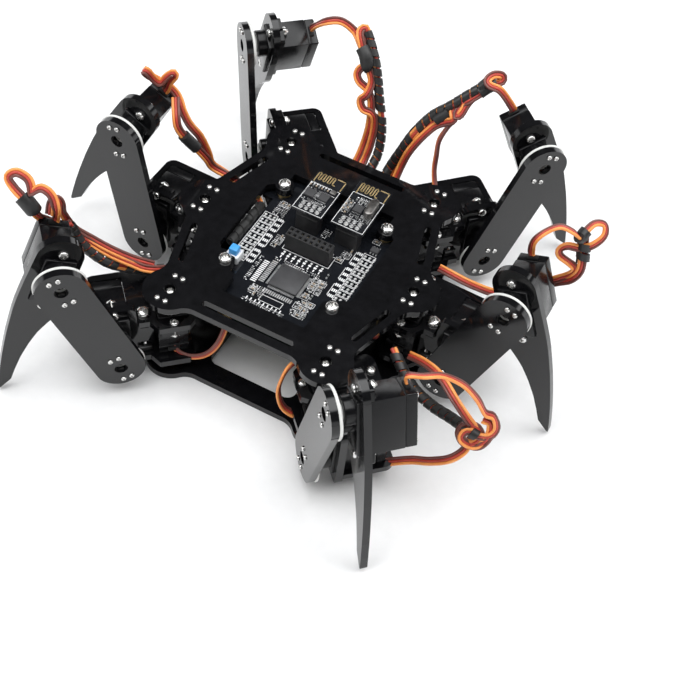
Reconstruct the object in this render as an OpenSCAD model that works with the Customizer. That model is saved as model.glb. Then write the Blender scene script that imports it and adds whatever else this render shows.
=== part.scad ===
// Six-legged walking robot: two flat acrylic body plates with a control board between them and six
// legs of three small servos each. Origin at the centre of the bottom plate's underside, +Y to the
// rear (the radio end), +X to the robot's right as seen from above with the front towards -Y.

/* [Body] */
// Height from the underside of the bottom plate to the upper face of the top plate
body_h = 45; // [40:0.5:60]
// Thickness of every acrylic plate
plate_t = 3; // [2:0.5:5]
// Half the distance between the left and right corner legs
corner_x = 35; // [30:1:60]
// Half the distance between the front and rear corner legs
corner_y = 50; // [40:1:80]
// Distance from the centre to each middle leg
middle_x = 49; // [40:1:80]
// Radius of the round lobe over each leg
lobe_r = 11; // [9:0.5:15]
// How far the plate's straight edges lie outside the line between two legs
edge_out = 4.75; // [3:0.25:8]
// Radius of the hollow corner where an edge runs into a lobe
lobe_fillet_r = 8; // [4:0.5:12]
// Length of the slots behind the front and rear edges
end_slot_l = 41; // [20:1:60]
// Length of the slots beside the side edges
side_slot_l = 22; // [10:1:40]
// Width of every slot
slot_w = 2.8; // [2:0.1:5]

/* [Legs] */
// Distance from a leg's turning axis to its hip axis
coxa_l = 23; // [18:0.5:40]
// Height of the hip axis
hip_z = 16.5; // [14:0.5:24]
// Distance from hip axis to knee axis
femur_l = 55; // [40:1:90]
// Radius of the femur plate's round ends
femur_r = 10; // [8:0.5:14]
// Distance from knee axis to the tip of the claw
claw_l = 72; // [60:1:110]
// Distance from a leg's middle plane to the outer face of its femur plate
femur_face = 13.8; // [12:0.1:20]

/* [Servos] */
// Length of a servo's case
case_l = 22.8; // [20:0.1:26]
// Width of a servo's case
case_w = 12.2; // [10:0.1:14]
// Height of a servo's case
case_h = 22.7; // [18:0.1:26]
// Distance from the shaft axis to the near end of the case
shaft_end = 5.9; // [5:0.1:8]
// Length that each mounting ear stands out
ear_out = 4.7; // [4:0.1:6]
// Thickness of the mounting ears
ear_t = 2.5; // [1.5:0.1:3]
// Distance from the top of the ears to the top of the case
ear_drop = 4.3; // [3:0.1:6]
// Height of the round gear boss over the case
boss_h = 4; // [3:0.1:6]
// Radius of the horn disc
horn_r = 10.3; // [8:0.1:12]
// Thickness of the horn disc
horn_t = 1.2; // [1:0.1:3]
// Length of the horn's hub between the disc and the gear boss
hub_t = 2; // [1:0.1:3]

/* [Board] */
// Height of the control board's upper face
board_z = 40; // [30:0.5:42]
// Thickness of the control board
board_t = 1.6; // [1:0.2:2]
// Distance from the centre line to the board screws
board_screw_x = 24.5; // [20:0.5:30]
// Distance from the middle to the board screws
board_screw_y = 25; // [20:0.5:40]
// Height of a socket strip
socket_h = 8.5; // [5:0.5:10]

/* [Leads] */
// Diameter of a leg's servo lead bundle
lead_d = 3.6; // [2:0.2:5]

/* [Hidden] */
$fn = 48;

// Legs in order: left front, right front, right middle, right rear, left rear, left middle
LEFT_FRONT = 0;
RIGHT_FRONT = 1;
RIGHT_MIDDLE = 2;
RIGHT_REAR = 3;
LEFT_REAR = 4;
LEFT_MIDDLE = 5;
LEGS = [0:5];
leg_at = [
    [-corner_x, -corner_y], [corner_x, -corner_y], [middle_x, 0],
    [corner_x, corner_y], [-corner_x, corner_y], [-middle_x, 0]
];
// Direction that each leg points in, its femur's slope and its claw's slope, at rest
leg_turn = [223, 313.5, -1.5, 46, 133.5, 179];
femur_slope = [69, 72.5, 70.5, 71, 73.5, 79];
claw_slope = [-68.5, -69, -68.5, -67, -66, -62];
// A left leg carries its femur on the anticlockwise side, a right leg on the clockwise side
leg_is_left = [true, false, false, false, true, true];

// Gap left between pieces that are clamped together, so that each stays a solid of its own
seam = 0.05;

// Heights and depths of the servo stacks
case_top_z = body_h - plate_t - horn_t - hub_t - boss_h;
coxa_top_z = case_top_z - ear_drop;
coxa_bottom_z = case_top_z - case_h - plate_t;
case_face = femur_face - plate_t - horn_t - hub_t - boss_h;
hip_plate_back = case_face - ear_drop;
clear = 0.2;
run_clear = 0.05;
shaft_r = 2.4;
shaft_l = 3;
ear_hole = 2.2;

// Screws
m3_r = 1.5;
m3_head_r = 2.75;
m3_head_h = 1.7;
m2_r = 0.95;
m2_head_r = 1.9;
m2_head_h = 1.3;
m2_nut_r = 2.2;
m2_nut_h = 1.5;
horn_screw_r = 0.7;
horn_screw_head_r = 1.1;
horn_screw_head_h = 0.7;
horn_screw_along = 6.6;
horn_screw_across = 1.8;
horn_screw_hole_r = 2.45;
hub_hole_r = 2.7;
sink_r = 2.85;
sink_h = 1.35;
m3_square_nut = 5.4;
m3_square_nut_h = 2.6;

// Coxa plate outline
coxa_back = -22.5;
coxa_inner = -8.5;
coxa_outer = 31.8;
hip_plate_in = 7.5;
hip_plate_wide = 9;
coxa_screw_u = 11.15;
t_slot_l = 5;

// Battery holder
holder_x = 30;
holder_y = 16;
holder_h = 33;
holder_wall = 1.5;
cell_r = 7.1;
cell_l = 50.5;
cell_pitch = 14.6;

// Power switch
switch_at = [-23.7, -18.8];
switch_w = 5.8;
switch_h = 4;
button_w = 3.6;

// Lead routes, from the knee servo to the body plate
lead_sides = 8;
lead_left_front_route = [
    [-76.6, -64.8, 76], [-75, -65, 86], [-81, -67, 91], [-89, -69, 93], [-89, -68, 84], [-85, -65, 71],
    [-80, -60, 63], [-71, -54, 52], [-62, -48, 42], [-54, -42, 38.5], [-46, -34, 37.5], [-38, -24, 35.5]
];
lead_right_front_route = [
    [72.4, -64.6, 77], [76, -62, 80], [85, -55, 76], [95, -48, 64], [101, -46, 53], [103, -48, 45],
    [97, -49, 44], [88, -46, 49], [79, -40, 51], [70, -33, 45], [61, -26, 39], [50, -20, 35]
];
lead_right_middle_route = [
    [87.3, 15.9, 77], [89, 15, 87], [97, 17, 95], [107, 20, 97], [112, 21, 92], [108, 20, 84],
    [104, 20, 74], [98, 20, 64], [89, 20, 53], [80, 19, 43], [68, 23, 38], [50, 26, 35]
];
lead_right_rear_route = [
    [48.6, 88.7, 77], [44, 86, 84], [38, 88, 89], [39, 92, 89], [36, 90, 83], [28, 85, 77],
    [20, 80, 66], [14, 75, 55], [10, 70, 45], [9, 64, 37], [9, 56, 34.5], [10, 47, 34.5]
];
lead_left_rear_route = [
    [-46.4, 86.4, 77], [-40, 83, 86], [-31, 82, 91], [-22, 83, 88], [-16, 82, 80], [-10, 78, 70],
    [-6, 75, 60], [-3, 71, 50], [-1, 66, 41], [0, 60, 36], [0, 53, 34.5], [0, 45, 34.5]
];
lead_left_middle_route = [
    [-78.2, 17.6, 78.6], [-81, 17.5, 86], [-86, 20, 85.5], [-85, 22.3, 78], [-80, 22.3, 68],
    [-77, 22.5, 57], [-72, 23, 49], [-65, 24, 40], [-56, 24, 37.2], [-46, 22.5, 37.2], [-38, 19.5, 38],
    [-32, 15.5, 39.6], [-29.1, 11.5, 40], [-29, 7, 41], [-29, 0, 41], [-29, -7, 41], [-29, -13, 41]
];

// Straight-edge stretch of the body plate between two legs, with a hollow corner at each lobe
module plate_edge(from, to) {
    run = norm(to - from);
    fillet_y = edge_out + lobe_fillet_r;
    fillet_x = sqrt(pow(lobe_r + lobe_fillet_r, 2) - pow(fillet_y, 2));
    translate(from)
    rotate(atan2(to[1] - from[1], to[0] - from[0]))
    difference() {
        polygon([[0, -1], [run, -1], [run, 0], [run - fillet_x, fillet_y], [fillet_x, fillet_y], [0, 0]]);
        translate([fillet_x, edge_out])
            square([run - 2 * fillet_x, fillet_y]);
        for (x = [fillet_x, run - fillet_x])
            translate([x, fillet_y])
                circle(r = lobe_fillet_r + seam);
    }
}

module body_outline() {
    polygon(leg_at);
    for (i = LEGS) {
        translate(leg_at[i])
            circle(r = lobe_r);
        plate_edge(leg_at[(i + 1) % 6], leg_at[i]);
    }
}

// A slot with round ends, centred, along X
module slot(l, w) {
    square([l - w, w], center = true);
    for (s = [-1, 1])
        translate([s * (l - w) / 2, 0])
            circle(d = w, $fn = 24);
}

// The four long sides' slots lie on the lines between the legs
module side_slots() {
    for (sx = [-1, 1])
        for (sy = [-1, 1])
            translate([sx * (corner_x + middle_x) / 2, sy * corner_y / 2])
                rotate(90 + sx * sy * atan2(middle_x - corner_x, corner_y))
                    slot(side_slot_l, slot_w);
}

// Puts children at each of a horn's four screws
module at_horn_screws() {
    for (sx = [-1, 1])
        for (sy = [-1, 1])
            translate([sx * horn_screw_along, sy * horn_screw_across, 0])
                children();
}

module at_board_screws() {
    for (sx = [-1, 1])
        for (sy = [-1, 1])
            translate([sx * board_screw_x, sy * board_screw_y, 0])
                children();
}

module window() {
    difference() {
        polygon([[-17, -40], [20, -40], [20, -24], [26, -20], [29.5, -18], [29.5, 21], [24, 27],
            [24, 33], [-24, 33], [-24, 27], [-31, 21], [-31, -18], [-28, -22], [-17, -31]]);
        for (sx = [-1, 1])
            for (sy = [-1, 1])
                translate([sx * board_screw_x, sy * board_screw_y])
                    circle(r = 4);
    }
    translate(switch_at)
        square(switch_w + 0.6, center = true);
}

module top_plate() {
    color([0.03, 0.03, 0.035])
    translate([0, 0, body_h - plate_t])
    difference() {
        linear_extrude(plate_t)
        difference() {
            body_outline();
            window();
            side_slots();
            for (s = [-1, 1])
                translate([0, s * (corner_y - 0.5)])
                    slot(end_slot_l, slot_w);
            for (i = LEGS)
                translate(leg_at[i])
                    circle(r = horn_screw_hole_r);
        }
        for (i = LEGS)
            translate([leg_at[i][0], leg_at[i][1], -1])
                rotate(90)
                    at_horn_screws()
                        cylinder(h = plate_t + 2, r = horn_screw_r + run_clear, $fn = 16);
        translate([0, 0, -1])
            at_board_screws()
                cylinder(h = plate_t + 2, r = m3_r + run_clear, $fn = 24);
    }
}

module bottom_plate() {
    color([0.03, 0.03, 0.035])
    difference() {
        linear_extrude(plate_t)
        difference() {
            body_outline();
            side_slots();
            for (s = [-1, 1]) {
                translate([0, s * 34])
                    square([34, 23], center = true);
                for (sx = [-1, 1])
                    translate([sx * 17, s * 34])
                        square([6, 15], center = true);
                for (sx = [-1, 1])
                    for (sy = [-1, 1])
                        translate([sx * 16, s * 34 + sy * 7.5])
                            circle(r = 4, $fn = 32);
            }
        }
        for (i = LEGS)
            translate([leg_at[i][0], leg_at[i][1], 0])
                sunk_hole();
        at_board_screws()
            sunk_hole();
    }
}

// Hole through the bottom plate with its mouth widened for a sunk screw head
module sunk_hole() {
    translate([0, 0, -1])
        cylinder(h = plate_t + 2, r = m3_r + run_clear, $fn = 24);
    translate([0, 0, -0.05])
        cylinder(h = sink_h + 0.1, r1 = sink_r + 0.15, r2 = m3_r + run_clear, $fn = 32);
}

// M3 screw with a sunk head, its top just under z = 0, its shank downwards
module sunk_screw(l) {
    difference() {
        union() {
            translate([0, 0, -sink_h])
                cylinder(h = sink_h - 0.05, r1 = m3_r, r2 = sink_r, $fn = 32);
            translate([0, 0, -l])
                cylinder(h = l - sink_h + 0.01, r = m3_r, $fn = 24);
        }
        for (a = [0, 90])
            rotate(a)
                cube([3.2, 0.7, 1.6], center = true);
    }
}

// Hexagonal pillars between the plates, washers over the board and sleeves under the coxas
module standoffs() {
    color([0.8, 0.7, 0.4]) {
        at_board_screws() {
            translate([0, 0, plate_t])
                difference() {
                    cylinder(h = board_z - board_t - plate_t, r = 3, $fn = 6);
                    translate([0, 0, -1])
                        cylinder(h = board_z, r = m3_r + run_clear, $fn = 24);
                }
            translate([0, 0, board_z])
                difference() {
                    cylinder(h = body_h - plate_t - board_z, r = 3, $fn = 32);
                    translate([0, 0, -1])
                        cylinder(h = plate_t + 2, r = m3_r + run_clear, $fn = 24);
                }
        }
        for (i = LEGS)
            translate([leg_at[i][0], leg_at[i][1], plate_t])
                difference() {
                    cylinder(h = coxa_bottom_z - 0.1 - plate_t, r = 3.5, $fn = 32);
                    translate([0, 0, -1])
                        cylinder(h = plate_t + coxa_bottom_z, r = m3_r + run_clear, $fn = 24);
                }
    }
}

// Screw along Z with its head's underside at z = 0, shank downwards and a cross recess
module pan_screw(r, head_r, head_h, l) {
    difference() {
        union() {
            cylinder(h = head_h * 0.6, r = head_r, $fn = 32);
            translate([0, 0, head_h * 0.6])
                cylinder(h = head_h * 0.4, r1 = head_r, r2 = head_r * 0.7, $fn = 32);
            translate([0, 0, -l])
                cylinder(h = l + 0.01, r = r, $fn = 24);
        }
        for (a = [0, 90])
            rotate(a)
                translate([0, 0, head_h])
                    cube([head_r * 1.1, head_r * 0.25, head_h], center = true);
    }
}

module body_screws() {
    color([0.78, 0.78, 0.8]) {
        at_board_screws() {
            translate([0, 0, body_h])
                pan_screw(m3_r, m3_head_r, m3_head_h, 12);
            mirror([0, 0, 1])
                sunk_screw(10);
        }
        for (i = LEGS) {
            translate([leg_at[i][0], leg_at[i][1], 0])
                mirror([0, 0, 1])
                    sunk_screw(coxa_bottom_z + plate_t - 0.2);
            translate([leg_at[i][0], leg_at[i][1], body_h]) {
                rotate(90)
                    at_horn_screws()
                        pan_screw(horn_screw_r, horn_screw_head_r, horn_screw_head_h, plate_t + horn_t);
                translate([0, 0, -plate_t - horn_t * 0.6])
                    pan_screw(1, 2.2, 2.9, 4);
            }
        }
    }
}

// Horn disc, hub and output shaft, with the face that meets the plate at z = 0
module horn() {
    difference() {
        union() {
            translate([0, 0, -horn_t])
                cylinder(h = horn_t, r = horn_r, $fn = 96);
            translate([0, 0, -horn_t - hub_t + 0.1])
                cylinder(h = hub_t, r = 3.6);
            translate([0, 0, -horn_t - hub_t - shaft_l + 0.1])
                cylinder(h = shaft_l + 0.1, r = shaft_r);
        }
        translate([0, 0, -horn_t * 0.6])
            cylinder(h = horn_t, r = 2.6);
        translate([0, 0, -horn_t - hub_t - shaft_l - 1])
            cylinder(h = horn_t + hub_t + shaft_l + 2, r = 1 + run_clear, $fn = 24);
        translate([0, 0, -horn_t - 1])
            at_horn_screws()
                cylinder(h = horn_t + 2, r = horn_screw_r + run_clear, $fn = 16);
    }
}

module yaw_horns() {
    color([0.93, 0.93, 0.92])
    for (i = LEGS)
        translate([leg_at[i][0], leg_at[i][1], body_h - plate_t])
            rotate(90)
                horn();
}

module control_board() {
    color([0.06, 0.065, 0.07])
    translate([0, 0, board_z - board_t])
    difference() {
        union() {
            translate([-32, -28.5, 0])
                cube([64, 12, board_t]);
            translate([-26.9, -17, 0])
                cube([58.9, 37, board_t]);
            translate([-32, 19.5, 0])
                cube([64, 18, board_t]);
            translate([-19, -44, 0])
                cube([41, 16, board_t]);
        }
        at_board_screws()
            translate([0, 0, -1])
                cylinder(h = board_t + 2, r = m3_r + run_clear, $fn = 24);
    }
}

// A row of pin sockets with one square well for each pin, standing on the board
module socket_strip(columns, rows) {
    pitch = 2.54;
    difference() {
        translate([-columns * pitch / 2, -rows * pitch / 2, 0])
            cube([columns * pitch, rows * pitch, socket_h]);
        for (i = [0:columns - 1])
            for (j = [0:rows - 1])
                translate([(i + 0.5 - columns / 2) * pitch, (j + 0.5 - rows / 2) * pitch, socket_h])
                    cube([1, 1, 6], center = true);
    }
}

module board_parts() {
    color([0.05, 0.05, 0.055])
    translate([0, 0, board_z]) {
        translate([-5.6, -24.9, 0])
            cube([14, 14, 1.4]);
        translate([1, -0.2, 0])
            socket_strip(8, 2);
        translate([-6, 12.5, 0])
            socket_strip(4, 2);
        translate([12.2, 13.5, 0])
            socket_strip(4, 2);
    }
}

// Two small radio boards on pin blocks over the sockets
module radio_modules() {
    color([0.08, 0.09, 0.1]) {
        translate([-13.2, 9, board_z + socket_h + 2.5])
            cube([14.3, 24.8, 1.2]);
        translate([-6 - 5.08, 12.5 - 2.54, board_z + socket_h])
            cube([10.16, 5.08, 2.5]);
        translate([4.6, 10, board_z + socket_h + 2.5])
            cube([15.2, 28, 1.2]);
        translate([12.2 - 5.08, 13.5 - 2.54, board_z + socket_h])
            cube([10.16, 5.08, 2.5]);
    }
}

// Latching push switch: an open-topped case that guides the button
module power_switch() {
    color([0.92, 0.93, 0.94])
    translate([switch_at[0], switch_at[1], board_z])
        difference() {
            translate([-switch_w / 2, -switch_w / 2, 0])
                cube([switch_w, switch_w, switch_h]);
            translate([-button_w / 2 - 0.1, -button_w / 2 - 0.1, 0.8])
                cube([button_w + 0.2, button_w + 0.2, switch_h]);
        }
}

module power_button() {
    color([0.2, 0.55, 0.85])
    translate([switch_at[0] - button_w / 2, switch_at[1] - button_w / 2, board_z + 2.5])
        cube([button_w, button_w, 4.4]);
}

// Two-layer tray for four round cells, standing on the bottom plate
module battery_holder() {
    color([0.04, 0.04, 0.045])
    translate([0, 0, plate_t])
    difference() {
        translate([-holder_x, -holder_y, 0])
            cube([2 * holder_x, 2 * holder_y, holder_h]);
        for (z = [holder_wall + cell_r, holder_h - holder_wall - cell_r])
            for (s = [-1, 1])
                translate([-holder_x + 2 * holder_wall, s * cell_pitch / 2, z])
                    rotate([0, 90, 0])
                        cylinder(h = 2 * (holder_x - 2 * holder_wall), r = cell_r + 0.15);
        translate([-holder_x + 2 * holder_wall, -holder_y - 1, holder_wall + 2])
            cube([2 * (holder_x - 2 * holder_wall), 3.2, cell_r * 1.6]);
        translate([-holder_x + 2 * holder_wall, holder_y - 2.2, holder_wall + 2])
            cube([2 * (holder_x - 2 * holder_wall), 3.2, cell_r * 1.6]);
        translate([-holder_x + 2 * holder_wall, -cell_pitch / 2 - 5, holder_h - cell_r])
            cube([2 * (holder_x - 2 * holder_wall), cell_pitch + 10, cell_r + 1]);
    }
}

module battery_cells() {
    color([0.1, 0.3, 0.2])
    for (z = [holder_wall + cell_r, holder_h - holder_wall - cell_r])
        for (s = [-1, 1])
            translate([-cell_l / 2, s * cell_pitch / 2, plate_t + z])
                rotate([0, 90, 0]) {
                    cylinder(h = cell_l - 1.5, r = cell_r);
                    cylinder(h = cell_l, r = 2.7);
                }
}

// Places children in a leg's own frame: X outwards, Y towards the femur, Z up
module at_leg(i) {
    translate([leg_at[i][0], leg_at[i][1], 0])
        rotate(leg_turn[i])
            if (leg_is_left[i])
                children();
            else
                mirror([0, 1, 0])
                    children();
}

// X along the femur from the hip axis
module at_femur(i) {
    at_leg(i)
        translate([coxa_l, 0, hip_z])
            rotate([0, -femur_slope[i], 0])
                children();
}

// X from the knee axis towards the claw's tip, Z to the claw's outer side
module at_claw(i) {
    at_leg(i)
        translate([coxa_l + femur_l * cos(femur_slope[i]), 0, hip_z + femur_l * sin(femur_slope[i])])
            rotate([0, -claw_slope[i], 0])
                children();
}

// An upright slab between two depths of a leg, its 2D children drawn in X and Z
module slab(y0, y1) {
    translate([0, y1, 0])
        rotate([90, 0, 0])
            linear_extrude(y1 - y0)
                children();
}

// Small servo: shaft axis along Z, top of the case at z = 0, shaft near the +X end
module servo() {
    far = shaft_end - case_l;
    difference() {
        union() {
            translate([far, -case_w / 2, -case_h])
                cube([case_l, case_w, case_h]);
            translate([far - ear_out, -case_w / 2, -ear_drop - ear_t])
                cube([case_l + 2 * ear_out, case_w, ear_t]);
            cylinder(h = boss_h, r = shaft_end);
            translate([-6.2, 0, 0])
                cylinder(h = boss_h, r = 2.9, $fn = 32);
        }
        translate([0, 0, boss_h - shaft_l - 0.1])
            cylinder(h = shaft_l + 1, r = shaft_r + run_clear);
        for (x = [shaft_end + ear_out - ear_hole, far - ear_out + ear_hole])
            translate([x, 0, -ear_drop - ear_t - 1])
                cylinder(h = ear_t + 2, r = m2_r + run_clear, $fn = 24);
    }
}

// Puts children at a servo's two ear screws
module at_ears() {
    for (x = [shaft_end + ear_out - ear_hole, shaft_end - case_l - ear_out + ear_hole])
        translate([x, 0, 0])
            children();
}

// M2 screw through a plate and an ear, with its nut under the ear; plate's face at z = 0
module ear_screw() {
    pan_screw(m2_r, m2_head_r, m2_head_h, plate_t + ear_t + m2_nut_h + 1);
    translate([0, 0, -plate_t - ear_t - m2_nut_h - seam])
        difference() {
            cylinder(h = m2_nut_h, r = m2_nut_r, $fn = 6);
            translate([0, 0, -1])
                cylinder(h = m2_nut_h + 2, r = m2_r + run_clear, $fn = 24);
        }
}

module place_yaw_servo() {
    translate([0, 0, case_top_z])
        rotate(90)
            children();
}

module place_hip_servo() {
    translate([coxa_l, case_face, hip_z])
        rotate([0, 90, 0])
            rotate([-90, 0, 0])
                children();
}

module place_knee_servo() {
    translate([0, case_face, 0])
        rotate([0, 180, 0])
            rotate([-90, 0, 0])
                children();
}

// Outline shared by the coxa's two flat plates
module coxa_outline(has_servo_hole) {
    half = case_w / 2 + clear;
    difference() {
        union() {
            polygon([[coxa_inner, coxa_back + 4], [coxa_inner + 4, coxa_back], [coxa_outer - 4, coxa_back],
                [coxa_outer, coxa_back + 4], [coxa_outer, hip_plate_back - clear],
                [coxa_l - hip_plate_wide - clear, hip_plate_back - clear],
                [coxa_l - hip_plate_wide - clear, 6], [9.5, 6], [6.5, 10.8], [-6, 10.8], [coxa_inner, 8]]);
            for (u = [coxa_inner + 4, coxa_outer - 4])
                translate([u, coxa_back + 4])
                    circle(r = 4);
        }
        translate([coxa_l - half, case_face - case_h - clear])
            square([2 * half, case_h]);
        if (has_servo_hole)
            translate([-half, shaft_end - case_l - clear])
                square([2 * half, case_l + 2 * clear]);
    }
}

module t_slot_screw_holes() {
    translate([coxa_screw_u, hip_plate_back + plate_t / 2, -1])
        cylinder(h = plate_t + 2, r = m3_r + run_clear, $fn = 24);
}

// The upright plate that carries the hip servo, drawn in X and Z
module hip_plate_outline() {
    half = case_w / 2 + clear;
    ear_top = hip_z + case_l - shaft_end + ear_out;
    ear_low = hip_z - shaft_end - ear_out;
    difference() {
        union() {
            translate([hip_plate_in, coxa_bottom_z + plate_t + seam])
                square([coxa_l + hip_plate_wide - hip_plate_in,
                    coxa_top_z - coxa_bottom_z - plate_t - 2 * seam]);
            translate([coxa_l - hip_plate_wide, ear_low + 3])
                square([2 * hip_plate_wide, ear_top - ear_low - 6]);
            translate([coxa_l - hip_plate_wide + 3, ear_low])
                square([2 * hip_plate_wide - 6, ear_top - ear_low]);
            for (u = [coxa_l - hip_plate_wide + 3, coxa_l + hip_plate_wide - 3])
                for (z = [ear_low + 3, ear_top - 3])
                    translate([u, z])
                        circle(r = 3, $fn = 32);
        }
        translate([coxa_l - half, hip_z - shaft_end - clear])
            square([2 * half, case_l + 2 * clear]);
        for (z = [hip_z - shaft_end - ear_out + ear_hole, ear_top - ear_hole])
            translate([coxa_l, z])
                circle(r = m2_r + run_clear, $fn = 24);
        for (z = [coxa_top_z - t_slot_l, coxa_bottom_z + plate_t - 1])
            translate([coxa_screw_u - m3_r - clear, z])
                square([2 * (m3_r + clear), t_slot_l + 1]);
        for (z = [coxa_top_z - m3_square_nut_h - 2 * clear, coxa_bottom_z + plate_t - 1])
            translate([coxa_screw_u - m3_square_nut / 2 - clear, z])
                square([m3_square_nut + 2 * clear, m3_square_nut_h + 2 * clear + 1]);
    }
}

module coxa_plates(i) {
    color([0.03, 0.03, 0.035])
    at_leg(i) {
        translate([0, 0, coxa_top_z])
            difference() {
                linear_extrude(plate_t)
                    coxa_outline(true);
                t_slot_screw_holes();
                translate([0, 0, -1])
                    rotate(90)
                        at_ears()
                            cylinder(h = plate_t + 2, r = m2_r + run_clear, $fn = 24);
            }
        translate([0, 0, coxa_bottom_z])
            difference() {
                linear_extrude(plate_t)
                    coxa_outline(false);
                t_slot_screw_holes();
                translate([0, 0, -1])
                    cylinder(h = plate_t + 2, r = m3_r + run_clear);
            }
        slab(hip_plate_back, hip_plate_back + plate_t)
            hip_plate_outline();
    }
}

module coxa_servos(i) {
    color([0.05, 0.05, 0.055])
    at_leg(i) {
        place_yaw_servo()
            servo();
        place_hip_servo()
            servo();
    }
}

// Screw down into the hip plate's notch, with its square nut; flat plate's face at z = 0
module t_slot_screw() {
    translate([coxa_screw_u, hip_plate_back + plate_t / 2, 0]) {
        pan_screw(m3_r, m3_head_r, m3_head_h, plate_t + 4.2);
        translate([0, 0, -plate_t - seam - m3_square_nut_h / 2])
            difference() {
                cube([m3_square_nut, m3_square_nut, m3_square_nut_h], center = true);
                cylinder(h = m3_square_nut_h + 2, r = m3_r + run_clear, center = true, $fn = 24);
            }
    }
}

module coxa_screws(i) {
    color([0.78, 0.78, 0.8])
    at_leg(i) {
        translate([0, 0, coxa_top_z + plate_t])
            t_slot_screw();
        translate([0, 0, coxa_bottom_z])
            mirror([0, 0, 1])
                t_slot_screw();
        translate([0, 0, coxa_top_z + plate_t])
            rotate(90)
                at_ears()
                    ear_screw();
        place_hip_servo()
            translate([0, 0, -ear_drop + plate_t])
                at_ears()
                    ear_screw();
    }
}

// Puts children on the femur's outer face at the hip and at the knee, Z outwards
module at_femur_ends() {
    for (x = [0, femur_l])
        translate([x, femur_face, 0])
            rotate([-90, 0, 0])
                children();
}

module femur_plate(i) {
    color([0.03, 0.03, 0.035])
    at_femur(i)
    difference() {
        slab(femur_face - plate_t, femur_face)
            difference() {
                union() {
                    translate([0, -femur_r])
                        square([femur_l, 2 * femur_r]);
                    for (x = [0, femur_l])
                        translate([x, 0])
                            circle(r = femur_r, $fn = 96);
                }
                for (x = [0, femur_l])
                    translate([x, 0])
                        circle(r = hub_hole_r);
            }
        at_femur_ends()
            translate([0, 0, -plate_t - 1])
                at_horn_screws()
                    cylinder(h = plate_t + 2, r = horn_screw_r + run_clear, $fn = 16);
    }
}

// Hip and knee horns with the small screws that hold the femur to them
module femur_horns(i) {
    color([0.93, 0.93, 0.92])
    at_femur(i)
        at_femur_ends() {
            translate([0, 0, -plate_t])
                horn();
            at_horn_screws()
                pan_screw(horn_screw_r, horn_screw_head_r, horn_screw_head_h, plate_t + horn_t);
            translate([0, 0, -plate_t - horn_t * 0.6])
                pan_screw(1, 1.9, 1, 4);
        }
}

// Hooked claw drawn from the knee axis (0, 0) outwards, with its tip claw_l away
module claw_outline() {
    half = case_w / 2 + clear;
    head_r = 9.05;
    head = [-6.3, 0.65];
    difference() {
        union() {
            translate(head)
                circle(r = head_r, $fn = 96);
            polygon([
                [head[0], head[1] - head_r], [4, -8.5], [16, -8.5], [21, -8.2], [24, -7.6], [26.5, -6.7],
                [29, -5.5], [32.4, -4.1], [35.8, -2.9], [39.5, -2.1], [43.2, -1.4], [47.5, -0.9],
                [51.7, -0.5], [59.2, -0.4], [65.7, -0.6], [claw_l - 1, 1.8], [claw_l - 0.3, 2.2],
                [claw_l, 2.8], [claw_l - 0.8, 3.1], [66, 4.3], [58, 5.9], [50.2, 7.2], [44, 8.1],
                [38, 8.9], [31, 9.6], [24.2, 10.2], [19, 10.4], [13.6, 10.4], [8, 10.3], [3.2, 10.1],
                [-2, 9.9], [head[0], head[1] + head_r]
            ]);
        }
        translate([-shaft_end - clear, -half])
            square([case_l + 2 * clear, 2 * half]);
        for (x = [-shaft_end - ear_out + ear_hole, case_l - shaft_end + ear_out - ear_hole])
            translate([x, 0])
                circle(r = m2_r + run_clear, $fn = 24);
    }
}

module claw_plate(i) {
    color([0.03, 0.03, 0.035])
    at_claw(i)
        slab(hip_plate_back, hip_plate_back + plate_t)
            claw_outline();
}

module claw_servo(i) {
    color([0.05, 0.05, 0.055])
    at_claw(i)
        place_knee_servo() {
            servo();
            translate([0, 0, -ear_drop + plate_t])
                at_ears()
                    ear_screw();
        }
}

// Frame at a point of a route: two unit vectors square to its run
function unit(v) = v / norm(v);
function run_at(route, i) =
    unit(route[min(i + 1, len(route) - 1)] - route[max(i - 1, 0)]);
function side_at(route, i) =
    let (t = run_at(route, i), up = abs(t[2]) > 0.9 ? [1, 0, 0] : [0, 0, 1]) unit(cross(up, t));
function spun(route, i, side) = i == 0 ? side_at(route, 0) :
    let (s = spun(route, i - 1, side), t = run_at(route, i)) unit(s - (s * t) * t);

// Round tube along a route, one ring of points at each place on it
module tube(route, d) {
    n = len(route);
    points = [for (i = [0:n - 1])
        let (t = run_at(route, i), s = spun(route, i, 0), w = cross(t, s))
        for (k = [0:lead_sides - 1])
            let (a = 360 * k / lead_sides)
            route[i] + d / 2 * (cos(a) * s + sin(a) * w)];
    walls = [for (i = [0:n - 2])
        for (k = [0:lead_sides - 1])
            let (a = i * lead_sides + k, b = i * lead_sides + (k + 1) % lead_sides)
            [a, a + lead_sides, b + lead_sides, b]];
    start = [for (k = [0:lead_sides - 1]) k];
    end = [for (k = [lead_sides - 1:-1:0]) (n - 1) * lead_sides + k];
    polyhedron(points = points, faces = concat([start], walls, [end]), convexity = 4);
}

module lead(route) {
    color([0.85, 0.4, 0.1])
        tube(route, lead_d);
}

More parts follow.
